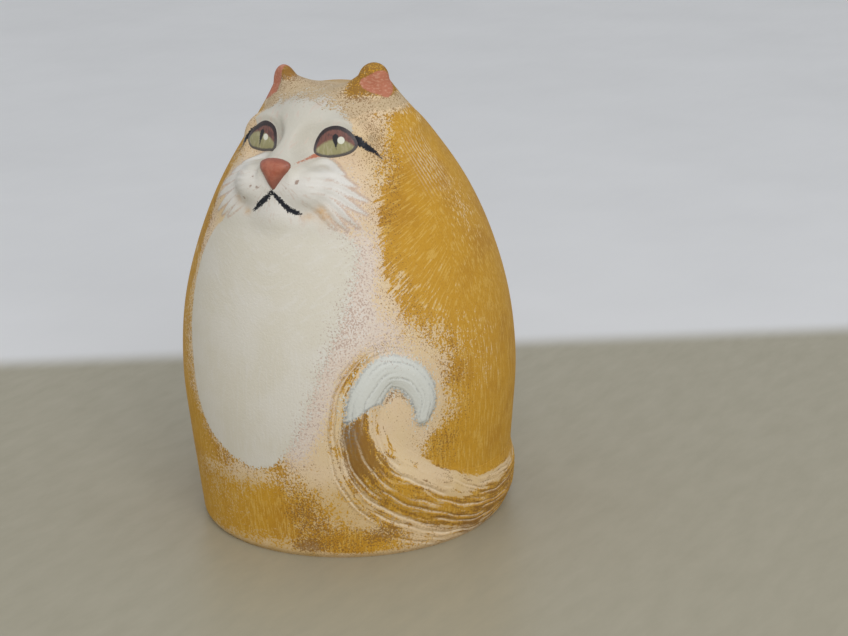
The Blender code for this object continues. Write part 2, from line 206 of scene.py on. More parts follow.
# Soft patches: angle, height, half angle, half height, strength.
OCHRE_PATCHES = (
    (30, 2.6, 11, 2.0, 0.95),
    (62, 18.4, 9, 3.4, 0.60),
    (70, 27.0, 8, 6.0, 0.30),
    (52, 40.0, 8, 4.0, 0.24),
    (20, 9.0, 10, 4.0, 0.42),
    (0, 8.5, 9, 4.0, 0.35),
    (56, 6.0, 10, 2.0, 0.30),
)
PALE_PATCHES = (
    (-8, 13.8, 16, 2.2, 0.50),
    (-2, 1.6, 30, 1.4, 0.34),
    (-32, 13.0, 8, 5.0, 0.22),
    (92, 54.5, 17, 9.0, 0.50),
    (54, 26.0, 6, 6.5, 0.24),
    (116, 42.0, 14, 16.0, 0.30),
    (112, 68.0, 26, 4.0, 0.14),
    (88, 33.0, 9, 7.0, 0.36),
    (150, 30.0, 16, 14.0, 0.18),
    (-120, 46.0, 18, 9.0, 0.20),
    (-84, 55.0, 16, 7.0, 0.38),
    (-150, 20.0, 22, 7.0, 0.20),
)
BROWN_PATCHES = (
    (12, 1.9, 6, 1.2, 0.62),
    (39, 4.0, 6, 1.5, 0.36),
    (17, 8.5, 13, 5.5, 0.11),
    (-30, 3.5, 18, 2.6, 0.08),
    (57, 19.6, 9, 3.6, 0.11),
    (60, 28.0, 9, 7.0, 0.06),
    (44, 38.5, 14, 4.0, 0.08),
    (56, 65.5, 12, 4.0, 0.14),
    (92, 56.0, 15, 8.0, 0.20),
    (-92, 46.0, 18, 9.0, 0.12),
    (160, 50.0, 22, 9.0, 0.10),
)
PEACH_PATCHES = (
    (15.5, 56.6, 2.6, 0.6, 0.80),
    (21.0, 57.8, 2.6, 0.8, 0.75),
    (23.0, 56.6, 4.2, 1.3, 0.66),
    (-15.5, 56.4, 2.6, 0.6, 0.80),
    (-21.5, 58.0, 2.6, 0.9, 0.65),
)
PINK_PATCHES = (
    (40, 39.5, 15, 5.0, 1.2),
    (55, 21.5, 4, 2.0, 0.5),
    (44, 28.0, 4, 2.0, 0.4),
    (50, 34.5, 12, 3.5, 0.6),
)
# Patches on both sides: pink and tan specks, and dusty ochre. The last is on the cat's left side alone.
PINK_CHEEK = ((34, 60.0, 11, 5.0, 0.50),)
TAN_TEMPLE = ((52, 67.5, 9, 3.5, 0.45),)
DUSTY_TEMPLE = ((54, 66.0, 12, 4.5, 0.40),)
DUSTY_FLANK = ((62, 27.0, 12, 8.0, 0.25),)
FAR_EAR_RISE = 1.8  # how much higher the ochre rim starts on the cat's right ear

# Paint of the tail. Places are (angle, height).
TIP_CUT = (34.4, 24.6)  # where the white starts, on the middle line
TIP_SLANT = 3.6  # how much further along the tail it starts on the inner side
TAIL_DARKEST = (35.0, 20.5)
STREAKS_TOP = 38.0  # the streaks outside the curl, and the carved hairs, end at these heights
COMB_TOP = 36.0

# Brush strokes as (x, height) or eye-plane points, each with its half width.
MOUTH_STROKES = (
    ((-4.2, 56.8, 0.16), (-3.0, 57.85, 0.42), (-1.6, 59.05, 0.46), (-0.1, 60.5, 0.26)),
    ((-0.2, 60.3, 0.32), (1.2, 58.95, 0.44), (2.5, 57.9, 0.44), (3.7, 57.3, 0.44), (4.6, 57.0, 0.18)),
)
EYE_WINGS = {
    1: ((2.6, 0.9, 0.45), (3.6, 0.35, 0.78), (4.5, -0.15, 0.56), (5.8, -1.1, 0.34), (7.2, -2.4, 0.05)),
    -1: ((2.0, 0.9, 0.45), (3.0, 0.1, 0.50), (4.0, -0.95, 0.38), (5.0, -2.0, 0.26), (6.1, -3.3, 0.05)),
}
TEAR_STROKES = {
    1: ((4.4, 65.3, 0.54), (3.7, 64.98, 0.36), (3.0, 64.7, 0.10)),
    -1: ((4.2, 65.3, 0.24), (3.6, 64.8, 0.05)),
}
# Whisker spots: x, height and radius.
FRECKLES = (
    (4.1, 62.2, 0.36),
    (2.3, 61.2, 0.24),
    (-4.3, 60.9, 0.25),
    (-3.0, 60.8, 0.28),
    (-4.2, 62.3, 0.22),
    (-6.0, 58.6, 0.3),
)
# Cheek hairs: start, middle and end of each as (angle, height), widest in the middle.
CHEEK_HAIRS = (
    ((11, 63.9), (23, 64.1), (33, 62.6)),
    ((9, 63.4), (25, 62.9), (38, 60.8)),
    ((8, 62.9), (25, 61.7), (42.6, 58.6)),
    ((8, 62.3), (24, 60.7), (41.3, 56.7)),
    ((8, 61.8), (22, 59.9), (37.2, 54.9)),
    ((8, 61.3), (20, 59.2), (32.5, 54.6)),
    ((8, 60.9), (17, 58.8), (27.6, 54.8)),
)
CHEEK_HAIR_WIDTHS = (0.10, 0.40, 0.46, 0.44, 0.06)
CHEEK_HAIR_RISE = 0.32
LID_FOLD = (0.85, 0.34, 0.20)  # distance over the eye, half width and rise of the fold
RUFF = ((33.0, 58.8), (6.2, 3.4), -34.0, 0.75)  # place, half sizes, tilt and rise of the cheek
SCORED = (84.0, 62.6, 11.0, 4.4, 2.25)  # lines behind each ear: angle, height, half sizes and spacing

# Brush strokes of the flanks sweep towards a point behind the cheek, in flat coordinates, and those of
# the face run out from a point at the nose.
SWEEP_CENTRE = (46.0, 66.0)
SWEEP_SCALE = 28.0
WHORL_HEIGHT = 63.0

# Eye shapes on their plane, as (outwards, up).
EYE_OUTLINES = {
    1: (
        (-3.5, -1.65), (-3.2, 0.35), (-1.85, 2.15), (0.45, 2.7), (2.7, 1.6),
        (3.7, -0.3), (2.75, -1.5), (-0.05, -2.35), (-2.3, -2.3),
    ),
    -1: (
        (-3.0, -1.9), (-3.1, 0.2), (-2.4, 1.75), (-0.1, 2.45), (2.4, 1.0),
        (3.6, -0.9), (2.9, -2.2), (1.0, -2.55), (-1.7, -2.35),
    ),
}
EYE_RISE = 0.42
# Each pupil's top, foot and greatest half width, and each glint's place and radius.
EYE_PUPILS = {1: ((0.0, 2.5), (0.24, -1.25), 0.50), -1: ((-0.3, 2.2), (0.42, -1.8), 0.42)}
EYE_GLINTS = {1: (1.02, 0.42, 0.58), -1: (-0.92, -0.12, 0.52)}
NOSE_OUTLINE = (
    (-2.55, 1.75), (-1.5, 2.4), (0.0, 2.6), (1.5, 2.45), (2.75, 1.85), (2.7, 0.95), (1.8, -0.2),
    (0.85, -1.5), (0.1, -2.4), (-0.75, -1.75), (-1.8, -0.3), (-2.6, 0.9),
)
NOSE_RISE = 1.15
# Painted cups of the ears, as (outwards, up) from the ear's foot.
EAR_PATCHES = {
    1: (
        (-1.6, 5.6), (0.2, 6.9), (1.8, 7.4), (2.9, 7.0), (3.5, 5.6),
        (3.8, 4.1), (2.9, 3.2), (1.4, 3.6), (-0.6, 4.4),
    ),
    -1: (
        (-0.6, 4.2), (-0.3, 6.2), (1.0, 7.5), (2.6, 7.4), (3.6, 5.4),
        (4.6, 2.2), (3.6, 1.2), (1.2, 1.6), (-0.4, 2.6),
    ),
}

# Paints and clay, as linear colours.
CREAM = (0.80, 0.60, 0.33)
CREAM_PEACH = (0.80, 0.60, 0.41)
CREAM_LIGHT = (0.85, 0.70, 0.50)
PEACH = (0.68, 0.41, 0.17)
OCHRE = (0.62, 0.32, 0.022)
OCHRE_DEEP = (0.46, 0.21, 0.012)
OCHRE_PALE = (0.76, 0.48, 0.110)
OCHRE_DUSTY = (0.62, 0.40, 0.13)
BROWN = (0.24, 0.115, 0.035)
PINK_WHITE = (0.79, 0.68, 0.60)
MAUVE = (0.42, 0.27, 0.22)
TAN = (0.56, 0.43, 0.27)
WHITE = (0.745, 0.70, 0.595)
# White of the upper face, made darker as painted shade.
WHITE_PAINTED_SHADE = (0.64, 0.61, 0.53)
WHITE_BRIGHT = (0.82, 0.79, 0.74)
WHITE_COOL = (0.70, 0.72, 0.68)
SLATE = (0.22, 0.22, 0.22)
CORAL = (0.54, 0.20, 0.12)
CORAL_LIGHT = (0.64, 0.31, 0.21)
NOSE_CORAL = (0.44, 0.128, 0.075)
NOSE_LIGHT = (0.56, 0.22, 0.14)
INK = (0.020, 0.022, 0.030)
FRECKLE = (0.30, 0.17, 0.12)
STRAND_SHADE = (0.62, 0.44, 0.34)
OLIVE = (0.38, 0.35, 0.18)
OLIVE_PALE = (0.46, 0.42, 0.25)
MAROON = (0.23, 0.10, 0.080)
MAROON_DARK = (0.13, 0.065, 0.060)
LID = (0.026, 0.024, 0.028)
LID_LOWER = (0.10, 0.09, 0.10)
GLINT = (0.86, 0.86, 0.74)
CLAY = (0.62, 0.43, 0.27)
CLAY_DARK = (0.42, 0.27, 0.16)

# Camera, in millimetres and degrees about a point on the body's axis.
CAMERA_AZIMUTH = 31.0
CAMERA_ELEVATION = 17.47
CAMERA_ROLL = -1.68
CAMERA_DISTANCE = 373.3
CAMERA_CENTRE = (0.0, 0.0, 38.0)
CAMERA_AIM = (12.8, -5.4)  # aim point right of the centre and up from it
CAMERA_LENS = 45.0
CAMERA_SENSOR = 17.3

FLOOR_SPAN = 3000.0
TABLE_BACK = 79.0  # the floor turns from table tone to wall tone this far behind the figurine
TABLE_FADE = 6.0  # half width of the turn
TABLE_TONE = (0.42, 0.385, 0.285)
WALL_TONE = (0.86, 0.86, 0.87)
KEY_PLACE = (0.38, -0.42, 0.42)  # in metres, as are the two below
KEY_AIM = (0.0, 0.0, 0.04)
KEY_SIZE = 0.42
KEY_WATTS = 1.88
WORLD_STRENGTH = 0.57
WORLD_COLOUR = (0.95, 0.975, 1.0, 1.0)


def smooth_points(points, steps, closed=False):
    """Points on a centripetal Catmull-Rom curve through the given ones."""
    given = [np.array(p, float) for p in points]
    if closed:
        given = [given[-1], *given, given[0], given[1]]
    else:
        given = [2 * given[0] - given[1], *given, 2 * given[-1] - given[-2]]
    found = []
    for p0, p1, p2, p3 in zip(given, given[1:], given[2:], given[3:]):
        k1 = np.linalg.norm(p1 - p0) ** 0.5
        k2 = k1 + np.linalg.norm(p2 - p1) ** 0.5
        k3 = k2 + np.linalg.norm(p3 - p2) ** 0.5
        for k in np.linspace(k1, k2, steps, endpoint=False):
            a1 = ((k1 - k) * p0 + k * p1) / k1
            a2 = ((k2 - k) * p1 + (k - k1) * p2) / (k2 - k1)
            a3 = ((k3 - k) * p2 + (k - k2) * p3) / (k3 - k2)
            b1 = ((k2 - k) * a1 + k * a2) / k2
            b2 = ((k3 - k) * a2 + (k - k1) * a3) / (k3 - k1)
            found.append(((k2 - k) * b1 + (k - k1) * b2) / (k2 - k1))
    if not closed:
        found.append(given[-2])
    return np.array(found)


def ramp(value, low, high):
    """0 below low, 1 above high, and smooth between."""
    share = np.clip((value - low) / (high - low), 0.0, 1.0)
    return share * share * (3 - 2 * share)


def fall(value, low, high):
    """1 below low, 0 above high, and smooth between."""
    return 1 - ramp(value, low, high)


def band(value, low, high, far_low, far_high):
    """1 between two soft edges and 0 outside them."""
    return ramp(value, low, high) * fall(value, far_low, far_high)


def bell(value, centre, width):
    return np.exp(-(((value - centre) / width) ** 2))


def patches(angle, height, rows):
    """The sum of soft patches."""
    total = np.zeros(len(angle))
    for at_angle, at_height, half_angle, half_height, strength in rows:
        total += strength * bell(angle, at_angle, half_angle) * bell(height, at_height, half_height)
    return total


def mirrored(points, side):
    return points * np.array([side, 1, 1])


def oval_reach(x, y, half, tilt):
    """How far out points are in a tilted oval: 0 at its centre and 1 on its edge."""
    cos, sin = math.cos(math.radians(tilt)), math.sin(math.radians(tilt))
    return np.hypot((x * cos + y * sin) / half[0], (y * cos - x * sin) / half[1])


def join(a, b, reach):
    """Smooth union of two distance fields."""
    share = np.maximum(reach - np.abs(a - b), 0.0) / reach
    return np.minimum(a, b) - share * share * reach / 4


def ellipsoid(points, centre, size):
    offset = points - np.array(centre)
    near = np.linalg.norm(offset / np.array(size), axis=1)
    far = np.linalg.norm(offset / np.array(size) ** 2, axis=1)
    return near * (near - 1) / np.maximum(far, 1e-6)


def tapered(points, start, end, start_radius, end_radius):
    """Distance to a rod whose radius changes evenly from one end to the other."""
    axis = np.array(end) - np.array(start)
    share = np.clip((points - start) @ axis / (axis @ axis), 0.0, 1.0)
    near = np.array(start) + share[:, None] * axis
    return np.linalg.norm(points - near, axis=1) - (start_radius + (end_radius - start_radius) * share)


def to_segment(x, y, start, end):
    """Distance from points to a segment, and the share of the way along it."""
    step = np.array(end, float) - np.array(start, float)
    share = np.clip(((x - start[0]) * step[0] + (y - start[1]) * step[1]) / (step @ step), 0.0, 1.0)
    return np.hypot(x - start[0] - share * step[0], y - start[1] - share * step[1]), share


def inside(x, y, outline):
    """Distance inside a closed outline, negative outside it."""
    nearest = np.full(len(x), 1e9)
    within = np.zeros(len(x), bool)
    for start, end in zip(outline, np.roll(outline, -1, axis=0)):
        nearest = np.minimum(nearest, to_segment(x, y, start, end)[0])
        rise = end[1] - start[1]
        if rise != 0:
            crossing = start[0] + (y - start[1]) * (end[0] - start[0]) / rise
            within ^= ((start[1] > y) != (end[1] > y)) & (x < crossing)
    return np.where(within, nearest, -nearest)


def stroke(x, y, points):
    """Distance inside a brush stroke of changing width."""
    inside_by = np.full(len(x), -50.0)
    for start, end in zip(points, points[1:]):
        distance, share = to_segment(x, y, start[:2], end[:2])
        inside_by = np.maximum(inside_by, start[2] + share * (end[2] - start[2]) - distance)
    return inside_by


def deepest(found):
    """The greatest of several distances inside, and NOWHERE for points that none comes near."""
    return np.maximum(np.maximum.reduce(found), NOWHERE)


def lean(height):
    return -LEAN * (np.maximum(height - LEAN_START, 0.0) / LEAN_SPAN) ** 2


def middle(node):
    """Centre of a CAD node's box."""
    low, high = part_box(node)
    return np.array((low + high) / 2) / MM


class Plane:
    """A flat place on the face: its centre and its directions across, up and out."""

    def __init__(self, centre, turn, back):
        a = math.radians(turn)
        e = math.radians(back)
        self.centre = np.array(centre, float)
        self.out = np.array([math.sin(a) * math.cos(e), -math.cos(a) * math.cos(e), math.sin(e)])
        self.across = np.array([math.cos(a), math.sin(a), 0.0])
        self.up = np.cross(self.out, self.across)
        if self.up[2] < 0:
            self.up = -self.up

    def read(self, points):
        """(across, up, out) of points on this plane."""
        offset = points - self.centre
        return offset @ self.across, offset @ self.up, offset @ self.out

    def place(self, across, up, out):
        return self.centre + np.outer(across, self.across) + np.outer(up, self.up) + np.outer(out, self.out)


class Tail:
    """The tail's course laid out flat on the body, as (angle times radius, along)."""

    def __init__(self, skin):
        rows = [(math.radians(a) * TAIL_RADIUS, skin.along_at(h), w, s) for a, h, w, s in TAIL_COURSE]
        course = smooth_points(rows, TAIL_STEPS)
        self.line = course[:, :2]
        self.half = course[:, 2]
        self.spacing = course[:, 3]
        steps = np.linalg.norm(np.diff(self.line, axis=0), axis=1)
        self.runs = np.concatenate([[0.0], np.cumsum(steps)])
        self.length = self.runs[-1]
        self.heading = np.stack([np.gradient(part, self.runs) for part in self.line.T], 1)

    def read(self, angle, along):
        """(run, across, half width) at places on the body. Across is positive on the outer side."""
        x = np.radians(np.where(angle < -120, angle + 360, angle)) * TAIL_RADIUS
        nearest = np.full(len(x), 1e9)
        run = np.zeros(len(x))
        side = np.ones(len(x))
        for k, (start, end) in enumerate(zip(self.line, self.line[1:])):
            distance, share = to_segment(x, along, start, end)
            closer = distance < nearest
            nearest = np.where(closer, distance, nearest)
            run = np.where(closer, self.runs[k] + share * (self.runs[k + 1] - self.runs[k]), run)
            turn = (end[0] - start[0]) * (along - start[1]) - (end[1] - start[1]) * (x - start[0])
            side = np.where(closer, np.where(turn > 0, 1.0, -1.0), side)
        return run, nearest * side, np.interp(run, self.runs, self.half)

    def place(self, run, across):
        """(angle, along) of places beside the course. Beyond either end it goes on straight."""
        clipped = np.clip(run, 0.0, self.length)
        tables = (*self.line.T, *self.heading.T)
        x, y, heading_x, heading_y = (np.interp(clipped, self.runs, table) for table in tables)
        length = np.hypot(heading_x, heading_y)
        heading_x, heading_y = heading_x / length, heading_y / length
        x = x + heading_x * (run - clipped) - heading_y * across
        y = y + heading_y * (run - clipped) + heading_x * across
        return np.degrees(x / TAIL_RADIUS), y

    def reach(self, run):
        """How far the sheet reaches on the inner and on the outer side."""
        half = np.interp(run, self.runs, self.half)
        height = np.interp(run, self.runs, self.line[:, 1])
        heading_x = np.interp(run, self.runs, self.heading[:, 0])
        room = (height - TAIL_LOWEST) / np.maximum(-heading_x, 0.12)
        return TAIL_INNER * half, np.clip(np.minimum(TAIL_OUTER * half, room), 0.8, None)

    def ridge(self, run, across, half):
        """Height of the ridge over the body."""
        rise = TAIL_RISE[0] + TAIL_RISE[1] * half
        return rise * (1 - ramp(np.abs(across) / half, 0.25, 1.3)) * ramp(run, -1.0, 9.0)

    def hair(self, run, across, half):
        """Carved hairs: a coordinate that is whole on each, their spacing, and how strongly they show."""
        spacing = np.interp(run, self.runs, self.spacing)
        wander = 0.22 * np.sin(run * 0.23) + 0.14 * np.sin(run * 0.51 + across) + 0.08 * np.sin(run * 1.3)
        lane = (across - 0.35 * half + wander) / spacing
        number = np.round(lane)
        broken = np.sin(run * 0.19 + number * 2.4) + 0.8 * np.sin(run * 0.43 + number * 4.1)
        shown = ramp(broken, -0.5, 0.3) * ramp(across / half, -1.05, -0.45) * ramp(run, 4.0, 20.0)
        outer = ramp(across / half, 1.0, 1.2)
        tip = ramp(self.length - run, 24.0, 30.0) * (1 - outer) + ramp(self.length - run, 9.0, 15.0) * outer
        on_tip = (1 - tip) * (1 - ramp(np.abs(across) / half, 0.95, 1.15))
        return lane, spacing, shown * tip + HAIR_TIP_DEPTH * on_tip * ramp(broken, -0.6, 0.3)


class Skin:
    """The whole outer surface of the cat, found along a ray for each angle and distance along."""

    def __init__(self):
        crown = BODY_PROFILE[-2]
        rounded = smooth_points([*BODY_PROFILE, (crown[0], -crown[1])], PROFILE_STEPS)
        points = rounded[: (len(BODY_PROFILE) - 1) * PROFILE_STEPS + 1]
        self.heights = points[:, 0]
        self.radii = points[:, 1] - INSET * np.minimum(points[:, 1], 1.0)
        steps = np.hypot(np.diff(self.heights), np.diff(self.radii))
        self.along = np.concatenate([[0.0], np.cumsum(steps)])
        slope_height = np.gradient(self.heights, self.along)
        slope_radius = np.gradient(self.radii, self.along)
        length = np.hypot(slope_height, slope_radius)
        self.normal_radial = slope_height / length
        self.normal_up = -slope_radius / length
        self.length = self.along[-1]
        self.tail = Tail(self)
        centre = middle("eye_left")
        centre[0] = (centre[0] - middle("eye_right")[0]) / 2
        self.eye = Plane(centre, *EYE_PLANE[:2])
        self.nose = Plane(NOSE_CENTRE, *NOSE_PLANE[:2])
        self.ear_tops = {side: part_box(f"ear_{word}")[1].z / MM for side, word in SIDES.items()}

    def radius_at(self, height):
        return np.interp(height, self.heights, self.radii)

    def along_at(self, height):
        return np.interp(height, self.heights, self.along)

    def start(self, angle, along):
        """Point on the turned body, the ray through it, and the ray's share of the normal."""
        turn = np.radians(angle)
        tables = (self.radii, self.heights, self.normal_radial, self.normal_up)
        radius, height, radial, upward = (np.interp(along, self.along, table) for table in tables)
        level = np.stack([np.sin(turn), -np.cos(turn), np.zeros_like(turn)], 1)
        up = np.array([0.0, 0.0, 1.0])
        point = level * radius[:, None] + np.outer(height, up)
        point[:, 1] += lean(height)
        ray = point - np.outer(np.minimum(height, FAN_HEIGHT), up)
        ray /= np.linalg.norm(ray, axis=1)[:, None]
        normal = level * radial[:, None] + np.outer(upward, up)
        return point, ray, np.maximum((ray * normal).sum(1), 0.3)

    def swelling(self, angle, along):
        """Low relief of the turned body: the brow, the tail and the slight unevenness of a hand-made form."""
        height, rise, reach_across, reach_up = BROW
        radius = np.interp(along, self.along, self.radii)
        across = np.radians(angle) * radius / reach_across
        up = (along - self.along_at(height)) / reach_up
        turn = np.radians(angle)
        uneven = np.sin(2 * turn + 0.11 * along) + np.sin(3 * turn - 0.17 * along + 1.3)
        uneven += 0.6 * np.sin(5 * turn + 0.23 * along + 0.4)
        relief = rise * np.exp(-across * across - up * up) - UNEVEN[0] - UNEVEN[1] * uneven
        low = along < TAIL_ALONG
        run, beside, half = self.tail.read(angle[low], along[low])
        relief[low] += self.tail.ridge(run, beside, half)
        return relief

    def face(self, points, over):
        """Distance field of the head without its ears. Over is the height above the turned body."""
        folded = np.stack([np.abs(points[:, 0]), points[:, 1], points[:, 2]], 1)
        field = join(over, tapered(folded, BRIDGE_TOP, BRIDGE_FOOT, *BRIDGE_RADII), BRIDGE_FILLET)
        field = join(field, ellipsoid(folded, CHIN_CENTRE, CHIN_SIZE), CHIN_FILLET)
        field = join(field, ellipsoid(folded, MUZZLE_CENTRE, MUZZLE_SIZE), MUZZLE_FILLET)
        for plane, numbers in ((self.eye, EYE_PLANE), (self.nose, NOSE_PLANE)):
            (half_across, half_up), soft = numbers[2:]
            across, up, out = plane.read(folded)
            reach = np.hypot(across / half_across, up / half_up)
            share = (1 - ramp(reach, 1.0, 1.0 + soft)) * (1 - ramp(np.abs(out), 3.0, 5.5))
            field += share * (out - field)
        return field

    def ear_axes(self, side):
        """Foot of an ear, the direction it faces, and the direction across it, outwards."""
        facing = math.radians(EAR_FACING)
        forward = np.array([math.sin(facing) * side, -math.cos(facing), 0.0])
        outward = np.array([math.cos(facing) * side, math.sin(facing), 0.0])
        return mirrored(np.array(EAR_FOOT), side), forward, outward

    def ear(self, points, side):
        """Distance field of one ear."""
        foot, forward, outward = self.ear_axes(side)
        top = self.ear_tops[side] - EAR_TIP_RADIUS - 0.05
        tip = np.array([EAR_TIP_PLACE[0] * side, EAR_TIP_PLACE[1], top])
        squeezed = points + np.outer((points - foot) @ forward * (EAR_FLATTEN - 1), forward)
        cone = tapered(squeezed, foot, tip, EAR_FOOT_RADIUS, EAR_TIP_RADIUS)
        centre = foot + forward * EAR_CUP[0] + np.array([0, 0, EAR_CUP[1]])
        offset = points - centre
        local = np.stack([offset @ forward, offset @ outward, offset[:, 2]], 1)
        cup = ellipsoid(local, (0, 0, 0), EAR_CUP_SIZE)
        return -join(-cone, cup, EAR_CUP_FILLET)

    def points(self, angle, along, ears=True):
        """Points of the surface at these angles and distances along."""
        point, ray, share = self.start(angle, along)
        relief = self.swelling(angle, along)
        reach = relief / share
        head = along > FAN_HEIGHT - 4
        base, way, part, over = point[head], ray[head], share[head], relief[head]
        travel = np.full(len(base), RAY_START)
        for _ in range(RAY_STEPS):
            here = base + way * travel[:, None]
            field = self.face(here, travel * part - over)
            if ears:
                for side in SIDES:
                    field = join(field, self.ear(here, side), EAR_FILLET)
            travel -= RAY_STRIDE * field
        reach[head] = travel
        return point + ray * reach[:, None], ray


def chart(points):
    """(angle, height) of points round the body's leaning axis."""
    return np.degrees(np.arctan2(points[:, 0], lean(points[:, 2]) - points[:, 1])), points[:, 2]


class Spots:
    """Where points are: on the body, on the tail, and against the edges of the paint."""

    def __init__(self, points, paint):
        tail = paint.skin.tail
        self.points = points
        self.forward = -points[:, 1]
        self.angle, self.height = chart(points)
        self.turn = np.abs(self.angle)
        self.x, self.y = paint.flatten(self.angle, self.height)
        self.bib = inside(self.x, self.y, paint.white)
        self.past_cream = -inside(self.x, self.y, paint.cream)
        self.low = self.height < TAIL_TOP
        raised = self.height - FAR_EAR_RISE * (points[:, 0] < 0)
        self.ear_rim = ramp(raised, 71.8, 74.4) * ramp(np.abs(points[:, 0]), 3.5, 6.5)

        self.run, self.across, self.half = tail.read(self.angle, paint.skin.along_at(self.height))
        self.beside = np.clip(self.across / self.half, -1.5, 2.5)
        self.to_end = tail.length - self.run
        self.past_cut = self.run - paint.white_run - TIP_SLANT * ramp(-self.across / self.half, -0.9, 0.9)
        self.before_tip = fall(self.past_cut, -0.8, 0.8)
        tip = np.minimum(1.06 * self.half - np.abs(self.across), self.past_cut)
        self.tip = np.where(self.low, tip, -9.0)
        self.near_tip = ramp(self.tip, -1.5, 0.5)
        behind = ramp(self.angle, 62, 80)
        self.on_tail = ramp((1.35 - 0.25 * behind) * self.half - np.abs(self.across), 0.0, 1.4)
        self.on_tail *= self.low * self.before_tip
        self.dusk = ramp(self.beside + 0.3 * behind, -0.5, 0.1) * fall(self.beside, 0.9, 1.8)
        self.outer_streaks = band(self.beside, 0.95, 1.2, 1.7, 2.3) * fall(self.angle, 42, 52)
        self.outer_streaks *= self.height < STREAKS_TOP
        self.inner_streaks = bell(self.run, paint.dark_run, 9.0) * band(self.beside, -1.45, -0.9, -0.3, 0.3)


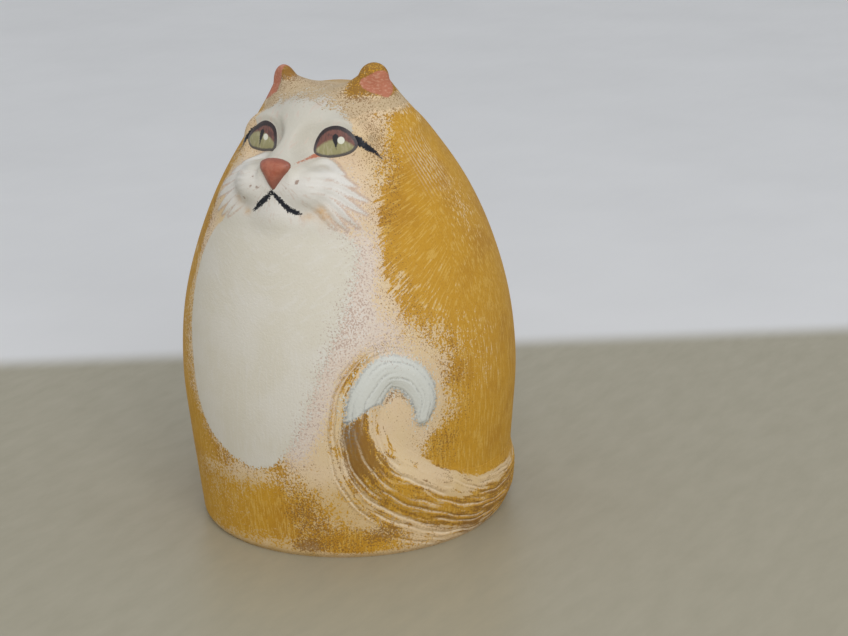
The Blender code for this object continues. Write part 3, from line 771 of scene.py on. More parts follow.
class Paint:
    """Smooth fields over the surface that the materials turn into crisp or speckled paint."""

    def __init__(self, skin):
        self.skin = skin
        self.white = self.flat_outline(WHITE_OUTLINE)
        self.cream = self.flat_outline(CREAM_OUTLINE)
        self.white_run = self.run_at(*TIP_CUT)
        self.dark_run = self.run_at(*TAIL_DARKEST)

    def run_at(self, angle, height):
        return float(self.skin.tail.read(np.array([angle]), np.array([self.skin.along_at(height)]))[0][0])

    def flatten(self, angle, height):
        return np.radians(angle) * np.maximum(self.skin.radius_at(height), CHART_RADIUS), height

    def flat_outline(self, outline):
        curve = smooth_points(outline, 4, closed=True)
        return np.stack(self.flatten(curve[:, 0], curve[:, 1]), 1)

    def cheek_hair(self, points):
        """Distance inside the nearest raised hair of the cheeks."""
        angle, height = chart(points)
        x, y = self.flatten(np.abs(angle), height)
        near = (np.abs(angle) < 50) & (np.abs(height - 59.5) < 8) & (points[:, 1] < 0)
        inside_by = np.full(len(x), NOWHERE)
        for hair in CHEEK_HAIRS:
            course = smooth_points(hair, 4)
            course_x, course_y = self.flatten(course[:, 0], course[:, 1])
            widths = np.interp(np.linspace(0, 4, len(course)), range(5), CHEEK_HAIR_WIDTHS)
            found = stroke(x[near], y[near], np.stack([course_x, course_y, widths], 1))
            inside_by[near] = np.maximum(inside_by[near], found)
        return inside_by

    def relief(self, points):
        """Low relief of the face: the cheek mounds with their hairs, and the folds over the eyes."""
        place, half, tilt, rise = RUFF
        angle, height = chart(points)
        x, y = self.flatten(np.abs(angle), height)
        at_x, at_y = self.flatten(*place)
        raised = rise * fall(oval_reach(x - at_x, y - at_y, half, tilt), 0.25, 1.35)
        raised += CHEEK_HAIR_RISE * ramp(self.cheek_hair(points), -0.22, 0.34) * ramp(np.abs(angle), 10, 18)
        distance, half_width, fold = LID_FOLD
        for side in SIDES:
            out, up, off = self.skin.eye.read(mirrored(points, side))
            over = -inside(out, up, smooth_points(EYE_OUTLINES[side], 4, closed=True))
            on_fold = bell(over, distance, half_width) * ramp(up, -0.8, 1.2) * (np.abs(off) < 4)
            raised += fold * on_fold * fall(out, 2.8, 4.2)
        return raised

    def white_softness(self, at):
        """How ragged the white's edge is, in millimetres."""
        soft = 0.35 + 2.3 * ramp(at.angle, 2, 18) * fall(at.height, 49, 55) + 0.5 * fall(at.height, 15, 25)
        soft *= 1 - 0.6 * ramp(-at.angle, 15, 25)
        soft += at.near_tip * (0.55 - soft)
        forehead = ramp(at.height, 70.0, 72.0) * ramp(at.forward, -2.0, 2.0)
        return soft + forehead * (1.7 - soft)

    def ochre(self, at):
        """How densely ochre covers. It thins towards the cream, over the crown and low in front."""
        blur = 2.2 + 3.0 * band(at.height, 55, 60, 61, 66) + 4.0 * fall(at.height, 36, 46)
        blur -= 4.4 * ramp(at.angle, 52, 72) * fall(at.height, 13, 20)
        crown = ramp(at.height, 69.0, 73.0) * ramp(at.forward, -2.5, 3.0)
        low_front = fall(at.height, 11, 16) * ramp(at.forward, 0, 12)
        flecked = 0.34 * band(at.height, 20, 28, 46, 56) * fall(at.turn, 80, 100)
        flecked = (flecked + 0.14 + 0.20 * ramp(at.height, 58, 64)) * fall(at.past_cream, 1.0, 15.0)
        thinned = 1.04 - flecked - 0.9 * crown - 0.36 * low_front
        amount = ramp(at.past_cream, -1.0 - blur, 0.7 * blur) * thinned
        amount += 0.10 * ramp(at.past_cream, -9.0, -1.0)
        amount += patches(at.angle, at.height, OCHRE_PATCHES) - patches(at.angle, at.height, PALE_PATCHES)
        amount += 0.20 * bell(at.bib, -3.2, 2.6) * ramp(at.angle, 8, 20) * band(at.height, 14, 22, 44, 52)
        amount = np.maximum(amount, 0.86 * at.ear_rim) * ramp(at.height, 0.3, 1.6)
        back = ramp(at.angle, 88, 112)
        amount += at.on_tail * (0.10 + (0.60 + 0.2 * back) * at.dusk + 0.35 * back - amount)
        amount += 0.34 * at.outer_streaks + 0.32 * at.inner_streaks * at.low * at.before_tip
        root = np.maximum(ramp(at.angle, 118, 150), ramp(-at.angle, 100, 120)) * fall(at.height, 9, 14)
        return np.maximum(amount, 0.95 * root)

    def brown(self, at):
        """Brown specks: where ochre thins into cream, on the ears' rims, and in the dark part of the tail."""
        amount = 0.17 + 0.16 * band(at.past_cream, -7.0, -1.0, 0.0, 5.0)
        amount *= 1 - 0.65 * ramp(at.past_cream, 1.0, 6.0)
        amount += patches(at.angle, at.height, BROWN_PATCHES) + 0.52 * at.ear_rim + 0.20 * at.outer_streaks
        dark = 0.60 * bell(at.run, self.dark_run, 6.5) * band(at.beside, -0.7, 0.3, 0.9, 1.5)
        dark += 0.16 * at.dusk * ramp(1.6 * at.half - np.abs(at.across), 0.0, 2.0) + 0.14 * at.inner_streaks
        rim = 0.32 * bell(at.across + 1.25 * at.half, 0.0, 0.55) * ramp(at.to_end, 2.0, 8.0)
        return amount + at.low * (at.before_tip * dark + (1 - at.before_tip) * rim)

    def pink(self, at):
        """Pinkish white specks along the bib's edge and beside the cheeks."""
        edge = bell(at.bib, -1.2, 3.0) * ramp(at.angle, 2, 12) * band(at.height, 12, 20, 50, 60)
        specks = 0.72 * edge * (1 - at.near_tip) + 0.45 * patches(at.angle, at.height, PINK_PATCHES)
        return specks * (1 - at.on_tail) + patches(at.turn, at.height, PINK_CHEEK)

    def tan(self, at):
        """Tan strokes over the crown and the temples."""
        crown = 0.85 * ramp(at.height, 68.5, 72.8) * (1 - at.ear_rim) * ramp(at.forward, -5.5, 0.5)
        return crown + patches(at.turn, at.height, TAN_TEMPLE)

    def dusty(self, at):
        """Duller ochre round the foot, at the temples and beside the tail's curl."""
        foot = fall(at.height, 10, 16) * (0.62 - 0.25 * ramp(at.angle, 25, 50))
        return foot + patches(at.turn, at.height, DUSTY_TEMPLE) + patches(at.angle, at.height, DUSTY_FLANK)

    def shade(self, at):
        """Painted shade: slate round the white tip, weaker higher up, and over the dark hairs below it."""
        edge = 0.75 * at.near_tip * bell(at.tip, 0.1, 0.30) * (1 - 0.6 * ramp(at.height, 26, 34))
        return edge + 0.50 * bell(at.past_cut, -1.6, 2.4) * band(at.beside, 0.0, 0.5, 1.0, 1.5) * at.low

    def coral(self, at):
        """Distance inside the painted cups of the ears and the strokes at the eyes' inner corners."""
        found = []
        for side in SIDES:
            foot, forward, outward = self.skin.ear_axes(side)
            offset = at.points - foot
            cup = inside(offset @ outward, offset[:, 2], smooth_points(EAR_PATCHES[side], 4, closed=True))
            on_ear = (offset @ forward > -0.6) & (at.height > 69)
            tear = stroke(at.points[:, 0] * side, at.height, TEAR_STROKES[side])
            found += [cup + np.where(on_ear, 0.0, NOWHERE), np.where(at.forward > 8, tear, NOWHERE)]
        return deepest(found)

    def ink(self, at):
        """Distance inside the lines of the mouth and the wings of the eyes."""
        x = at.points[:, 0]
        found = [np.where(at.forward > 15, stroke(x, at.height, line), NOWHERE) for line in MOUTH_STROKES]
        for side in SIDES:
            out, up, off = self.skin.eye.read(mirrored(at.points, side))
            found.append(np.where(np.abs(off) < 4, stroke(out, up, EYE_WINGS[side]), NOWHERE))
        return deepest(found)

    def freckle(self, at):
        """Distance inside the whisker spots."""
        found = [radius - np.hypot(at.points[:, 0] - x, at.height - z) for x, z, radius in FRECKLES]
        return deepest([np.where(at.forward > 12, by, NOWHERE) for by in found])

    def directions(self, at):
        """Coordinates that the strokes of the brush, the hairs and the scored lines are drawn along."""
        over, below = SWEEP_CENTRE[0] - np.abs(at.x), SWEEP_CENTRE[1] - at.y
        from_nose = at.height - WHORL_HEIGHT
        around = np.hypot(at.points[:, 0], from_nose) + 1e-6
        lane, _, shown = self.skin.tail.hair(at.run, at.across, at.half)
        shown = np.where(at.height < COMB_TOP, shown * ramp(2.2 * at.half - at.across, 0.0, 0.8), 0.0)
        at_angle, at_height, half_angle, half_height, step = SCORED
        off_angle = (at.turn - at_angle) / half_angle
        off_height = (at.height - at_height) / half_height
        scored = np.exp(-(off_angle**4) - off_height**4)
        rows = {
            "sweep": (np.arctan2(below, over) * SWEEP_SCALE, np.hypot(over, below) * 0.16, 0 * at.x),
            "whorl": (at.points[:, 0] / around * 6, from_nose / around * 6, around * 0.35),
            "comb": (lane, at.run, shown),
            "score": ((at.turn + 0.6 * (at.height - at_height)) / step, at.height, scored),
        }
        return {name: np.stack(parts, 1) for name, parts in rows.items()}

    def masks(self, at):
        """Parts of the surface, as 1 on them and 0 off them."""
        brow = ramp(at.forward, 3, 8)
        speckled_head = ramp(at.height, 57, 63) * fall(at.turn, 66, 84)
        return {
            "face": ramp(at.height, 52, 58) * brow,
            "muzzle": band(at.height, 54, 58, 62, 64.5) * brow,
            "cheek": ramp(at.turn, 14, 26),
            "slant": ramp(at.height, 34, 42) * fall(at.turn, 64, 84),
            "spatter": fall(at.height, 36, 44) * fall(at.turn, 72, 90) + speckled_head,
            "cool": at.near_tip,
            "tail": at.low * ramp(1.9 * at.half - at.across, 0, 1) * ramp(at.across + 1.6 * at.half, 0, 1),
        }

    def read(self, points):
        """Every paint field at these points, as name: values."""
        at = Spots(points, self)
        cheek_hair = self.cheek_hair(points)
        return {
            "white": np.maximum(np.maximum(at.bib, at.tip), cheek_hair + 0.10),
            "white_soft": self.white_softness(at),
            "ochre": self.ochre(at),
            "brown": self.brown(at),
            "pink": self.pink(at),
            "tan": self.tan(at),
            "dusty": self.dusty(at),
            "shade": self.shade(at),
            "coral": self.coral(at),
            "line": self.ink(at),
            "freckle": self.freckle(at),
            "peach": patches(at.angle, at.height, PEACH_PATCHES),
            "cheek_hair": cheek_hair,
            **self.directions(at),
            **self.masks(at),
        }


def spaced(stops, end):
    """Values that follow (start, step) stretches up to an end."""
    values = []
    for (start, step), (stop, _) in zip(stops, [*stops[1:], (end, 0.0)]):
        values.extend(np.linspace(start, stop, round((stop - start) / step), endpoint=False))
    return np.array(values)


def add_fields(mesh, fields):
    for name, values in fields.items():
        kind, key = ("FLOAT_VECTOR", "vector") if values.ndim == 2 else ("FLOAT", "value")
        attribute = mesh.attributes.new(name, kind, "POINT")
        attribute.data.foreach_set(key, values.astype(np.float32).ravel())


def new_piece(name, vertices, faces, material, fields, normals=None):
    """A mesh object with its paint fields. Rows of normals that are zero are left to Blender."""
    mesh = bpy.data.meshes.new(name)
    mesh.from_pydata((vertices * MM).tolist(), [], faces)
    mesh.shade_smooth()
    add_fields(mesh, fields)
    if normals is not None:
        mesh.normals_split_custom_set(normals.tolist())
    obj = bpy.data.objects.new(name, mesh)
    bpy.context.scene.collection.objects.link(obj)
    mesh.materials.append(material)
    return obj


def settle(obj, node):
    """The piece stands for a CAD node: it hangs from the root body, and the node's own mesh is hidden."""
    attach(obj, "root")
    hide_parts(node)


def vertex_normals(vertices, faces):
    corners = [vertices[faces[:, k]] for k in range(4)]
    across = np.cross(corners[2] - corners[0], corners[3] - corners[1])
    normals = np.zeros_like(vertices)
    for k in range(4):
        np.add.at(normals, faces[:, k], across)
    return normals / np.maximum(np.linalg.norm(normals, axis=1), 1e-9)[:, None]


class Grid:
    """The skin sampled over its angles and distances along, and the regions that become separate pieces."""

    def __init__(self, skin, paint):
        self.skin = skin
        self.angles = spaced(ANGLE_STOPS, 180.0)
        self.alongs = spaced(ALONG_STOPS, skin.length)
        angle, along = (part.ravel() for part in np.meshgrid(self.angles, self.alongs))
        self.angle = angle
        self.along = along
        self.full, self.ray = skin.points(angle, along)
        self.full += self.ray * paint.relief(self.full)[:, None]
        self.bare = skin.points(angle, along, ears=False)[0]
        self.fields = paint.read(self.full)
        count = len(self.angles)
        low = np.arange((len(self.alongs) - 1) * count).reshape(-1, count)
        right = np.roll(low, -1, axis=1)
        self.faces = np.stack([low, right, right + count, low + count], -1).reshape(-1, 4)
        self.normals = vertex_normals(self.full, self.faces)

    def flat(self, place):
        """Coordinates in millimetres from a place (angle, height) on the skin."""
        at_angle, at_height = place
        turned = (self.angle - at_angle + 180) % 360 - 180
        radius = np.interp(self.along, self.skin.along, self.skin.radii)
        return np.radians(turned) * radius, self.along - self.skin.along_at(at_height)

    def oval(self, place, half, tilt, side):
        """Distance inside an oval, roughly in millimetres."""
        x, y = self.flat((place[0] * side, place[1]))
        return (1 - oval_reach(x * side, y, half, tilt)) * min(half)


def regions(grid):
    """Distance inside each region of the skin, in the order in which they claim it."""
    found = {}
    for side, word in SIDES.items():
        from_midline = side * grid.flat((0.0, 60.0))[0] - REGION_GAP
        found[f"muzzle_{word}"] = np.minimum(grid.oval(*MUZZLE_REGION, side), from_midline)
        found[f"cheek_ruff_{word}"] = grid.oval(*RUFF_REGION, side)
        found[f"ear_{word}"] = grid.oval(*EAR_REGION, side)
    found["chin"] = grid.oval(*CHIN_REGION, 1)
    found["nose_bridge"] = grid.oval(*BRIDGE_REGION, 1)
    for name in ("chin", "nose_bridge", "cheek_ruff_left", "cheek_ruff_right"):
        for word in SIDES.values():
            found[name] = np.minimum(found[name], -found[f"muzzle_{word}"] - REGION_GAP)
    claimed = np.zeros(len(grid.full), bool)
    for name, within in found.items():
        found[name] = np.where(claimed, -1.0, within)
        claimed[grid.faces[(found[name] > 0)[grid.faces].any(axis=1)]] = True
    return found


def split_at(faces, inner):
    """Quads that touch inner vertices, cut so that both halves of each touch one."""
    first = np.argmax(inner[faces], axis=1)
    turned = np.take_along_axis(faces, (first[:, None] + np.arange(4)) % 4, axis=1)
    return np.concatenate([turned[:, [0, 1, 2]], turned[:, [0, 2, 3]]])


def patch_piece(name, grid, within, material):
    """One region of the skin as a closed piece: its outer faces, and a floor that meets their border."""
    inner = within > 0
    faces = split_at(grid.faces[inner[grid.faces].any(axis=1)], inner)
    used = np.zeros(len(grid.full), bool)
    used[faces] = True
    top = np.full(len(grid.full), -1)
    top[used] = np.arange(used.sum())
    under = top.copy()
    under[inner] = used.sum() + np.arange(inner.sum())
    depth = np.maximum(PIECE_DEPTH * ramp(within, 0.0, REGION_BORDER), 0.05)
    floor = (grid.bare if name.startswith("ear") else grid.full) - grid.ray * depth[:, None]
    vertices = np.concatenate([grid.full[used], floor[inner]])
    fields = {key: np.concatenate([value[used], value[inner]]) for key, value in grid.fields.items()}
    both = [*top[faces].tolist(), *under[faces][:, ::-1].tolist()]
    normals = np.concatenate([grid.normals[faces].reshape(-1, 3), np.zeros((faces.size, 3))])
    obj = new_piece(f"{name}_skin", vertices, both, material, fields, normals)
    settle(obj, name)


def sink_skin(grid, skin, found):
    """The skin with a shallow pocket under each piece, where pieces hide it, and where they cut it."""
    sunk = grid.full.copy()
    hidden = np.zeros(len(sunk), bool)
    pockets = np.zeros(len(sunk), bool)
    for name, within in found.items():
        inner = within > 0
        base = grid.bare if name.startswith("ear") else grid.full
        depth = np.maximum(POCKET_DEPTH * ramp(within, 0.0, REGION_BORDER), 0.08)
        sunk[inner] = (base - grid.ray * depth[:, None])[inner]
        pockets |= inner
    low = grid.along < TAIL_ALONG
    run, across = skin.tail.read(grid.angle[low], grid.along[low])[:2]
    inner_reach, outer_reach = skin.tail.reach(run)
    within = np.minimum(across + inner_reach, outer_reach - across)
    ends = ramp(run, 1.0, 3.0) * ramp(skin.tail.length - run, 0.4, 1.4)
    sink = TAIL_POCKET * ramp(within, 0.45, 0.95) * ends
    sunk[low] -= grid.ray[low] * sink[:, None]
    hidden[np.flatnonzero(low)[sink > 0]] = True
    flats = [(skin.eye, side, EYE_OUTLINES[side]) for side in SIDES] + [(skin.nose, 1, NOSE_OUTLINE)]
    for plane, side, outline in flats:
        out, up, off = plane.read(mirrored(grid.full, side))
        within = inside(out, up, smooth_points(outline, 6, closed=True))
        sink = FLAT_POCKET * ramp(within, 0.25, 0.7) * (np.abs(off) < 3)
        sunk -= grid.ray * sink[:, None]
        hidden |= sink > 0
    return sunk, hidden, pockets


def body_piece(grid, skin, found, material):
    """The rest of the skin, closed by the underside."""
    sunk, hidden, pockets = sink_skin(grid, skin, found)
    count = len(grid.angles)
    turn = np.radians(grid.angles)
    level = np.stack([np.sin(turn), -np.cos(turn)], 1)
    under = [np.column_stack([level * radius, np.full(count, height)]) for radius, height in UNDERSIDE]
    crown = skin.points(np.array([0.0]), np.array([skin.length - 0.01]))[0]
    vertices = np.concatenate([sunk, *under, crown, [[0.0, 0.0, UNDERSIDE[-1][1]]]])

    cut = pockets[grid.faces].any(axis=1)
    open_faces = grid.faces[~cut]
    faces = open_faces.tolist() + split_at(grid.faces[cut], pockets).tolist()
    ring = np.arange(count)
    for k in range(len(UNDERSIDE)):
        current = len(sunk) + k * count + ring
        previous = current - count if k else ring
        faces += np.stack([np.roll(previous, -1), previous, current, np.roll(current, -1)], 1).tolist()
    last_ring = len(sunk) - count
    tops = [last_ring + ring, last_ring + np.roll(ring, -1), np.full(count, len(vertices) - 2)]
    feet = [np.roll(current, -1), current, np.full(count, len(vertices) - 1)]
    faces += np.stack(tops, 1).tolist() + np.stack(feet, 1).tolist()

    fields = {}
    for key, value in grid.fields.items():
        ends = [value[last_ring:].mean(axis=0)[None], np.zeros((1, *value.shape[1:]))]
        fields[key] = np.concatenate([value, *[value[:count]] * len(UNDERSIDE), *ends])
    given = grid.normals[open_faces] * ~hidden[open_faces].any(axis=1)[:, None, None]
    normals = np.zeros((sum(len(face) for face in faces), 3))
    normals[: given.size // 3] = given.reshape(-1, 3)
    obj = new_piece("body_shell_skin", vertices, faces, material, fields, normals)
    settle(obj, "body_shell")


def sheet_faces(rows, columns):
    """Quads of a sheet of points, facing outwards."""
    index = np.arange(rows * columns).reshape(rows, columns)
    corners = [index[1:, :-1], index[1:, 1:], index[:-1, 1:], index[:-1, :-1]]
    return np.stack(corners, -1).reshape(-1, 4)


def tail_piece(skin, paint, material):
    """The tail and the carved hairs beside it: a fine sheet over the skin, with a floor under it."""
    tail = skin.tail
    rows, columns = TAIL_CELLS
    before, beyond = TAIL_ENDS
    run = np.linspace(-before, tail.length + beyond, rows)
    share = np.linspace(-1.0, 1.0, columns)[None, :]
    inner_reach, outer_reach = tail.reach(run)
    over = np.maximum(np.maximum(-run / before, (run - tail.length) / beyond), 0.0)
    close = np.sqrt(np.maximum(1 - over**2, 0.02))
    across = share * np.where(share < 0, inner_reach[:, None], outer_reach[:, None]) * close[:, None]
    angle, along = tail.place(np.repeat(run, columns), across.ravel())
    angle = (angle + 180) % 360 - 180
    top, ray = skin.points(angle, along)
    fields = paint.read(top)

    edge = np.ones((rows, columns), bool)
    edge[1:-1, 1:-1] = False
    edge = edge.ravel()
    lane, spacing, shown = tail.hair(*tail.read(angle, along))
    beside = np.abs(lane - np.round(lane)) * spacing
    carved = HAIR_DEPTH * bell(beside, 0.0, HAIR_HALF_WIDTH) * shown
    ridged = -HAIR_RIDGE * np.cos(2 * np.pi * lane) * shown
    top = top + ray * np.where(edge, -TAIL_BORDER, COVER_RISE - carved + ridged)[:, None]
    keep = ~edge
    floor = (top - ray * TAIL_FLOOR)[keep]
    under = np.arange(len(top))
    under[keep] = len(top) + np.arange(keep.sum())
    outer = sheet_faces(rows, columns)
    fields = {key: np.concatenate([value, value[keep]]) for key, value in fields.items()}
    faces = [*outer.tolist(), *under[outer][:, ::-1].tolist()]
    obj = new_piece("tail_skin", np.concatenate([top, floor]), faces, material, fields)
    settle(obj, "tail")


def disc_mesh(outline, rings):
    """Points from the middle of an outline to its edge, ring by ring, with their share of the way out."""
    middle_point = outline.mean(axis=0)
    shares = np.sin(np.linspace(0, np.pi / 2, rings + 1))[1:]
    points = [middle_point[None, :]] + [middle_point + (outline - middle_point) * share for share in shares]
    return np.concatenate(points), np.concatenate([[0.0], np.repeat(shares, len(outline))])


def button_faces(segments, rings):
    """Faces of a disc mesh and of the flat cone that closes it from behind."""
    ring = np.arange(segments)
    after = np.roll(ring, -1)
    faces = [(0, 1 + k, 1 + int(after[k])) for k in ring]
    for r in range(rings - 1):
        start = 1 + r * segments
        quads = np.stack([start + ring, start + segments + ring, start + segments + after, start + after], 1)
        faces += quads.tolist()
    back = 1 + rings * segments
    start = 1 + (rings - 1) * segments
    faces += [(back, start + int(after[k]), start + k) for k in ring]
    return faces


def button(node, material, plane, side, outline, rise, make_fields, rings=26, steps=10):
    """A domed piece on a flat place of the face. Its outline is drawn on the plane, outwards and up."""
    curve = smooth_points(outline, steps, closed=True)
    flat, share = disc_mesh(curve, rings)
    lift = COVER_RISE + rise * (1 - share**2.4) ** 0.8
    lift[share > 0.999] = -BUTTON_BORDER
    vertices = plane.place(flat[:, 0], flat[:, 1], lift)
    back = plane.place(flat[:1, 0], flat[:1, 1], [-BUTTON_BACK])
    vertices = mirrored(np.concatenate([vertices, back]), side)
    faces = button_faces(len(curve), rings)
    centre = vertices[0] - vertices[-1]
    first = vertices[list(faces[0])]
    if np.cross(first[1] - first[0], first[2] - first[0]) @ centre < 0:
        faces = [tuple(face[::-1]) for face in faces]
    flat = np.concatenate([flat, flat[:1]])
    fields = make_fields(flat, inside(flat[:, 0], flat[:, 1], curve))
    settle(new_piece(f"{node}_glaze", vertices, faces, material, fields), node)


def eye_fields(side):
    def read(flat, rim):
        out, up = flat[:, 0], flat[:, 1]
        top, foot, width = EYE_PUPILS[side]
        share = np.clip((up - foot[1]) / (top[1] - foot[1]), 0, 1)
        pupil = width * ramp(share, -0.02, 0.55) - np.abs(out - (foot[0] + share * (top[0] - foot[0])))
        pupil = np.where(up > foot[1], pupil, -1.0) - 0.9 * ramp(share, 0.60, 0.84)
        glint_x, glint_y, radius = EYE_GLINTS[side]
        thick = 0.45 + 0.16 * ramp(up, -0.2, 1.8) + 0.40 * (side < 0) * ramp(up + out * 0.6, 0.5, 2.2)
        return {
            "rim": rim - thick,
            "height_up": up,
            "olive": 0.55 - 0.13 * (out - 0.4) ** 2 - up,
            "pupil": pupil,
            "glint": radius - np.hypot(out - glint_x, up - glint_y),
        }

    return read


def nose_fields(flat, rim):
    return {"rim": rim, "height_up": flat[:, 1]}


class Signal:
    """A number that a material's nodes work out. Arithmetic on it adds nodes."""

    def __init__(self, finish, socket):
        self.finish = finish
        self.socket = socket

    def __add__(self, other):
        return self.finish.math("ADD", self, other)

    def __sub__(self, other):
        return self.finish.math("SUBTRACT", self, other)

    def __rsub__(self, other):
        return self.finish.math("SUBTRACT", other, self)

    def __mul__(self, other):
        return self.finish.math("MULTIPLY", self, other)

    def off_whole(self):
        """Distance to the nearest whole number."""
        return self.finish.math("ABSOLUTE", self - self.finish.math("ROUND", self))

    def step(self, low, high):
        """0 at low, 1 at high, smooth between and level beyond."""
        node = self.finish.add("ShaderNodeMapRange", interpolation_type="SMOOTHSTEP")
        self.finish.feed(node.inputs["Value"], self)
        node.inputs["From Min"].default_value = low
        node.inputs["From Max"].default_value = high
        return Signal(self.finish, node.outputs["Result"])


class Finish:
    """A material and short ways to add nodes to it."""

    def __init__(self, name):
        self.material = bpy.data.materials.new(name)
        self.material.use_nodes = True
        self.tree = self.material.node_tree
        self.shader = self.tree.nodes["Principled BSDF"]
        self.place = self.vector_math("SCALE", self.add("ShaderNodeTexCoord").outputs["Object"], scale=1000.0)

    def add(self, kind, **settings):
        node = self.tree.nodes.new(kind)
        for name, value in settings.items():
            setattr(node, name, value)
        return node

    def feed(self, socket, value):
        """A socket takes a signal, another node's output, a number or a colour."""
        if isinstance(value, Signal):
            value = value.socket
        if isinstance(value, bpy.types.NodeSocket):
            self.tree.links.new(value, socket)
        elif isinstance(value, tuple) and len(socket.default_value) == 4:
            socket.default_value = (*value, 1.0)
        else:
            socket.default_value = value

    def vector_math(self, operation, a, b=None, scale=None):
        node = self.add("ShaderNodeVectorMath", operation=operation)
        self.feed(node.inputs[0], a)
        if b is not None:
            self.feed(node.inputs[1], b)
        if scale is not None:
            node.inputs["Scale"].default_value = scale
        if operation == "DOT_PRODUCT":
            return Signal(self, node.outputs["Value"])
        return node.outputs["Vector"]

    def math(self, operation, a, b=0.0, clamp=False):
        node = self.add("ShaderNodeMath", operation=operation, use_clamp=clamp)
        self.feed(node.inputs[0], a)
        self.feed(node.inputs[1], b)
        return Signal(self, node.outputs[0])

    def value(self, name):
        return Signal(self, self.add("ShaderNodeAttribute", attribute_name=name).outputs["Fac"])

    def vector(self, name):
        return self.add("ShaderNodeAttribute", attribute_name=name).outputs["Vector"]

    def parts(self, name):
        """The three numbers of a vector attribute."""
        node = self.add("ShaderNodeSeparateXYZ")
        self.feed(node.inputs[0], self.vector(name))
        return [Signal(self, socket) for socket in node.outputs]

    def noise(self, place, scale, detail=1.0, stretch=(1.0, 1.0, 1.0)):
        """Noise spread evenly over 0 to 1. Scale is per millimetre."""
        node = self.add("ShaderNodeTexNoise")
        self.feed(node.inputs["Vector"], self.vector_math("MULTIPLY", place, stretch))
        node.inputs["Scale"].default_value = scale
        node.inputs["Detail"].default_value = detail
        node.inputs["Roughness"].default_value = 0.6
        spread = (Signal(self, node.outputs["Fac"]) - 0.5) * 2.5
        return self.math("ADD", spread, 0.5, clamp=True)

    def blend(self, share, a, b):
        """A number between a and b."""
        node = self.add("ShaderNodeMix")
        for socket, value in zip((node.inputs[0], node.inputs[2], node.inputs[3]), (share, a, b)):
            self.feed(socket, value)
        return Signal(self, node.outputs[0])

    def mix(self, share, a, b):
        """A colour between a and b."""
        node = self.add("ShaderNodeMix", data_type="RGBA")
        for socket, value in zip((node.inputs[0], node.inputs[6], node.inputs[7]), (share, a, b)):
            self.feed(socket, value)
        return node.outputs[2]

    def layered(self, colour, *coats):
        """A colour with coats over it, each given as how much it covers and its tone."""
        for share, tone in coats:
            colour = self.mix(share, colour, tone)
        return colour

    def spatter(self, amount, grain, width=0.10):
        """Dabs of paint that cover about this share of the surface."""
        return (amount * (1.0 + 2 * width) - width - grain).step(-width, width)

    def finish(self, colour, roughness, height, depth, coat=0.0, specular=0.4):
        """Connects the shader. Depth is the relief of the height in millimetres."""
        bump = self.add("ShaderNodeBump")
        bump.inputs["Strength"].default_value = 1.0
        bump.inputs["Distance"].default_value = depth * MM
        self.feed(bump.inputs["Height"], height)
        self.feed(self.shader.inputs["Base Color"], colour)
        self.feed(self.shader.inputs["Roughness"], roughness)
        self.feed(self.shader.inputs["Normal"], bump.outputs["Normal"])
        self.shader.inputs["Specular IOR Level"].default_value = specular
        self.shader.inputs["Coat Weight"].default_value = coat
        self.shader.inputs["Coat Roughness"].default_value = 0.2
        return self.material


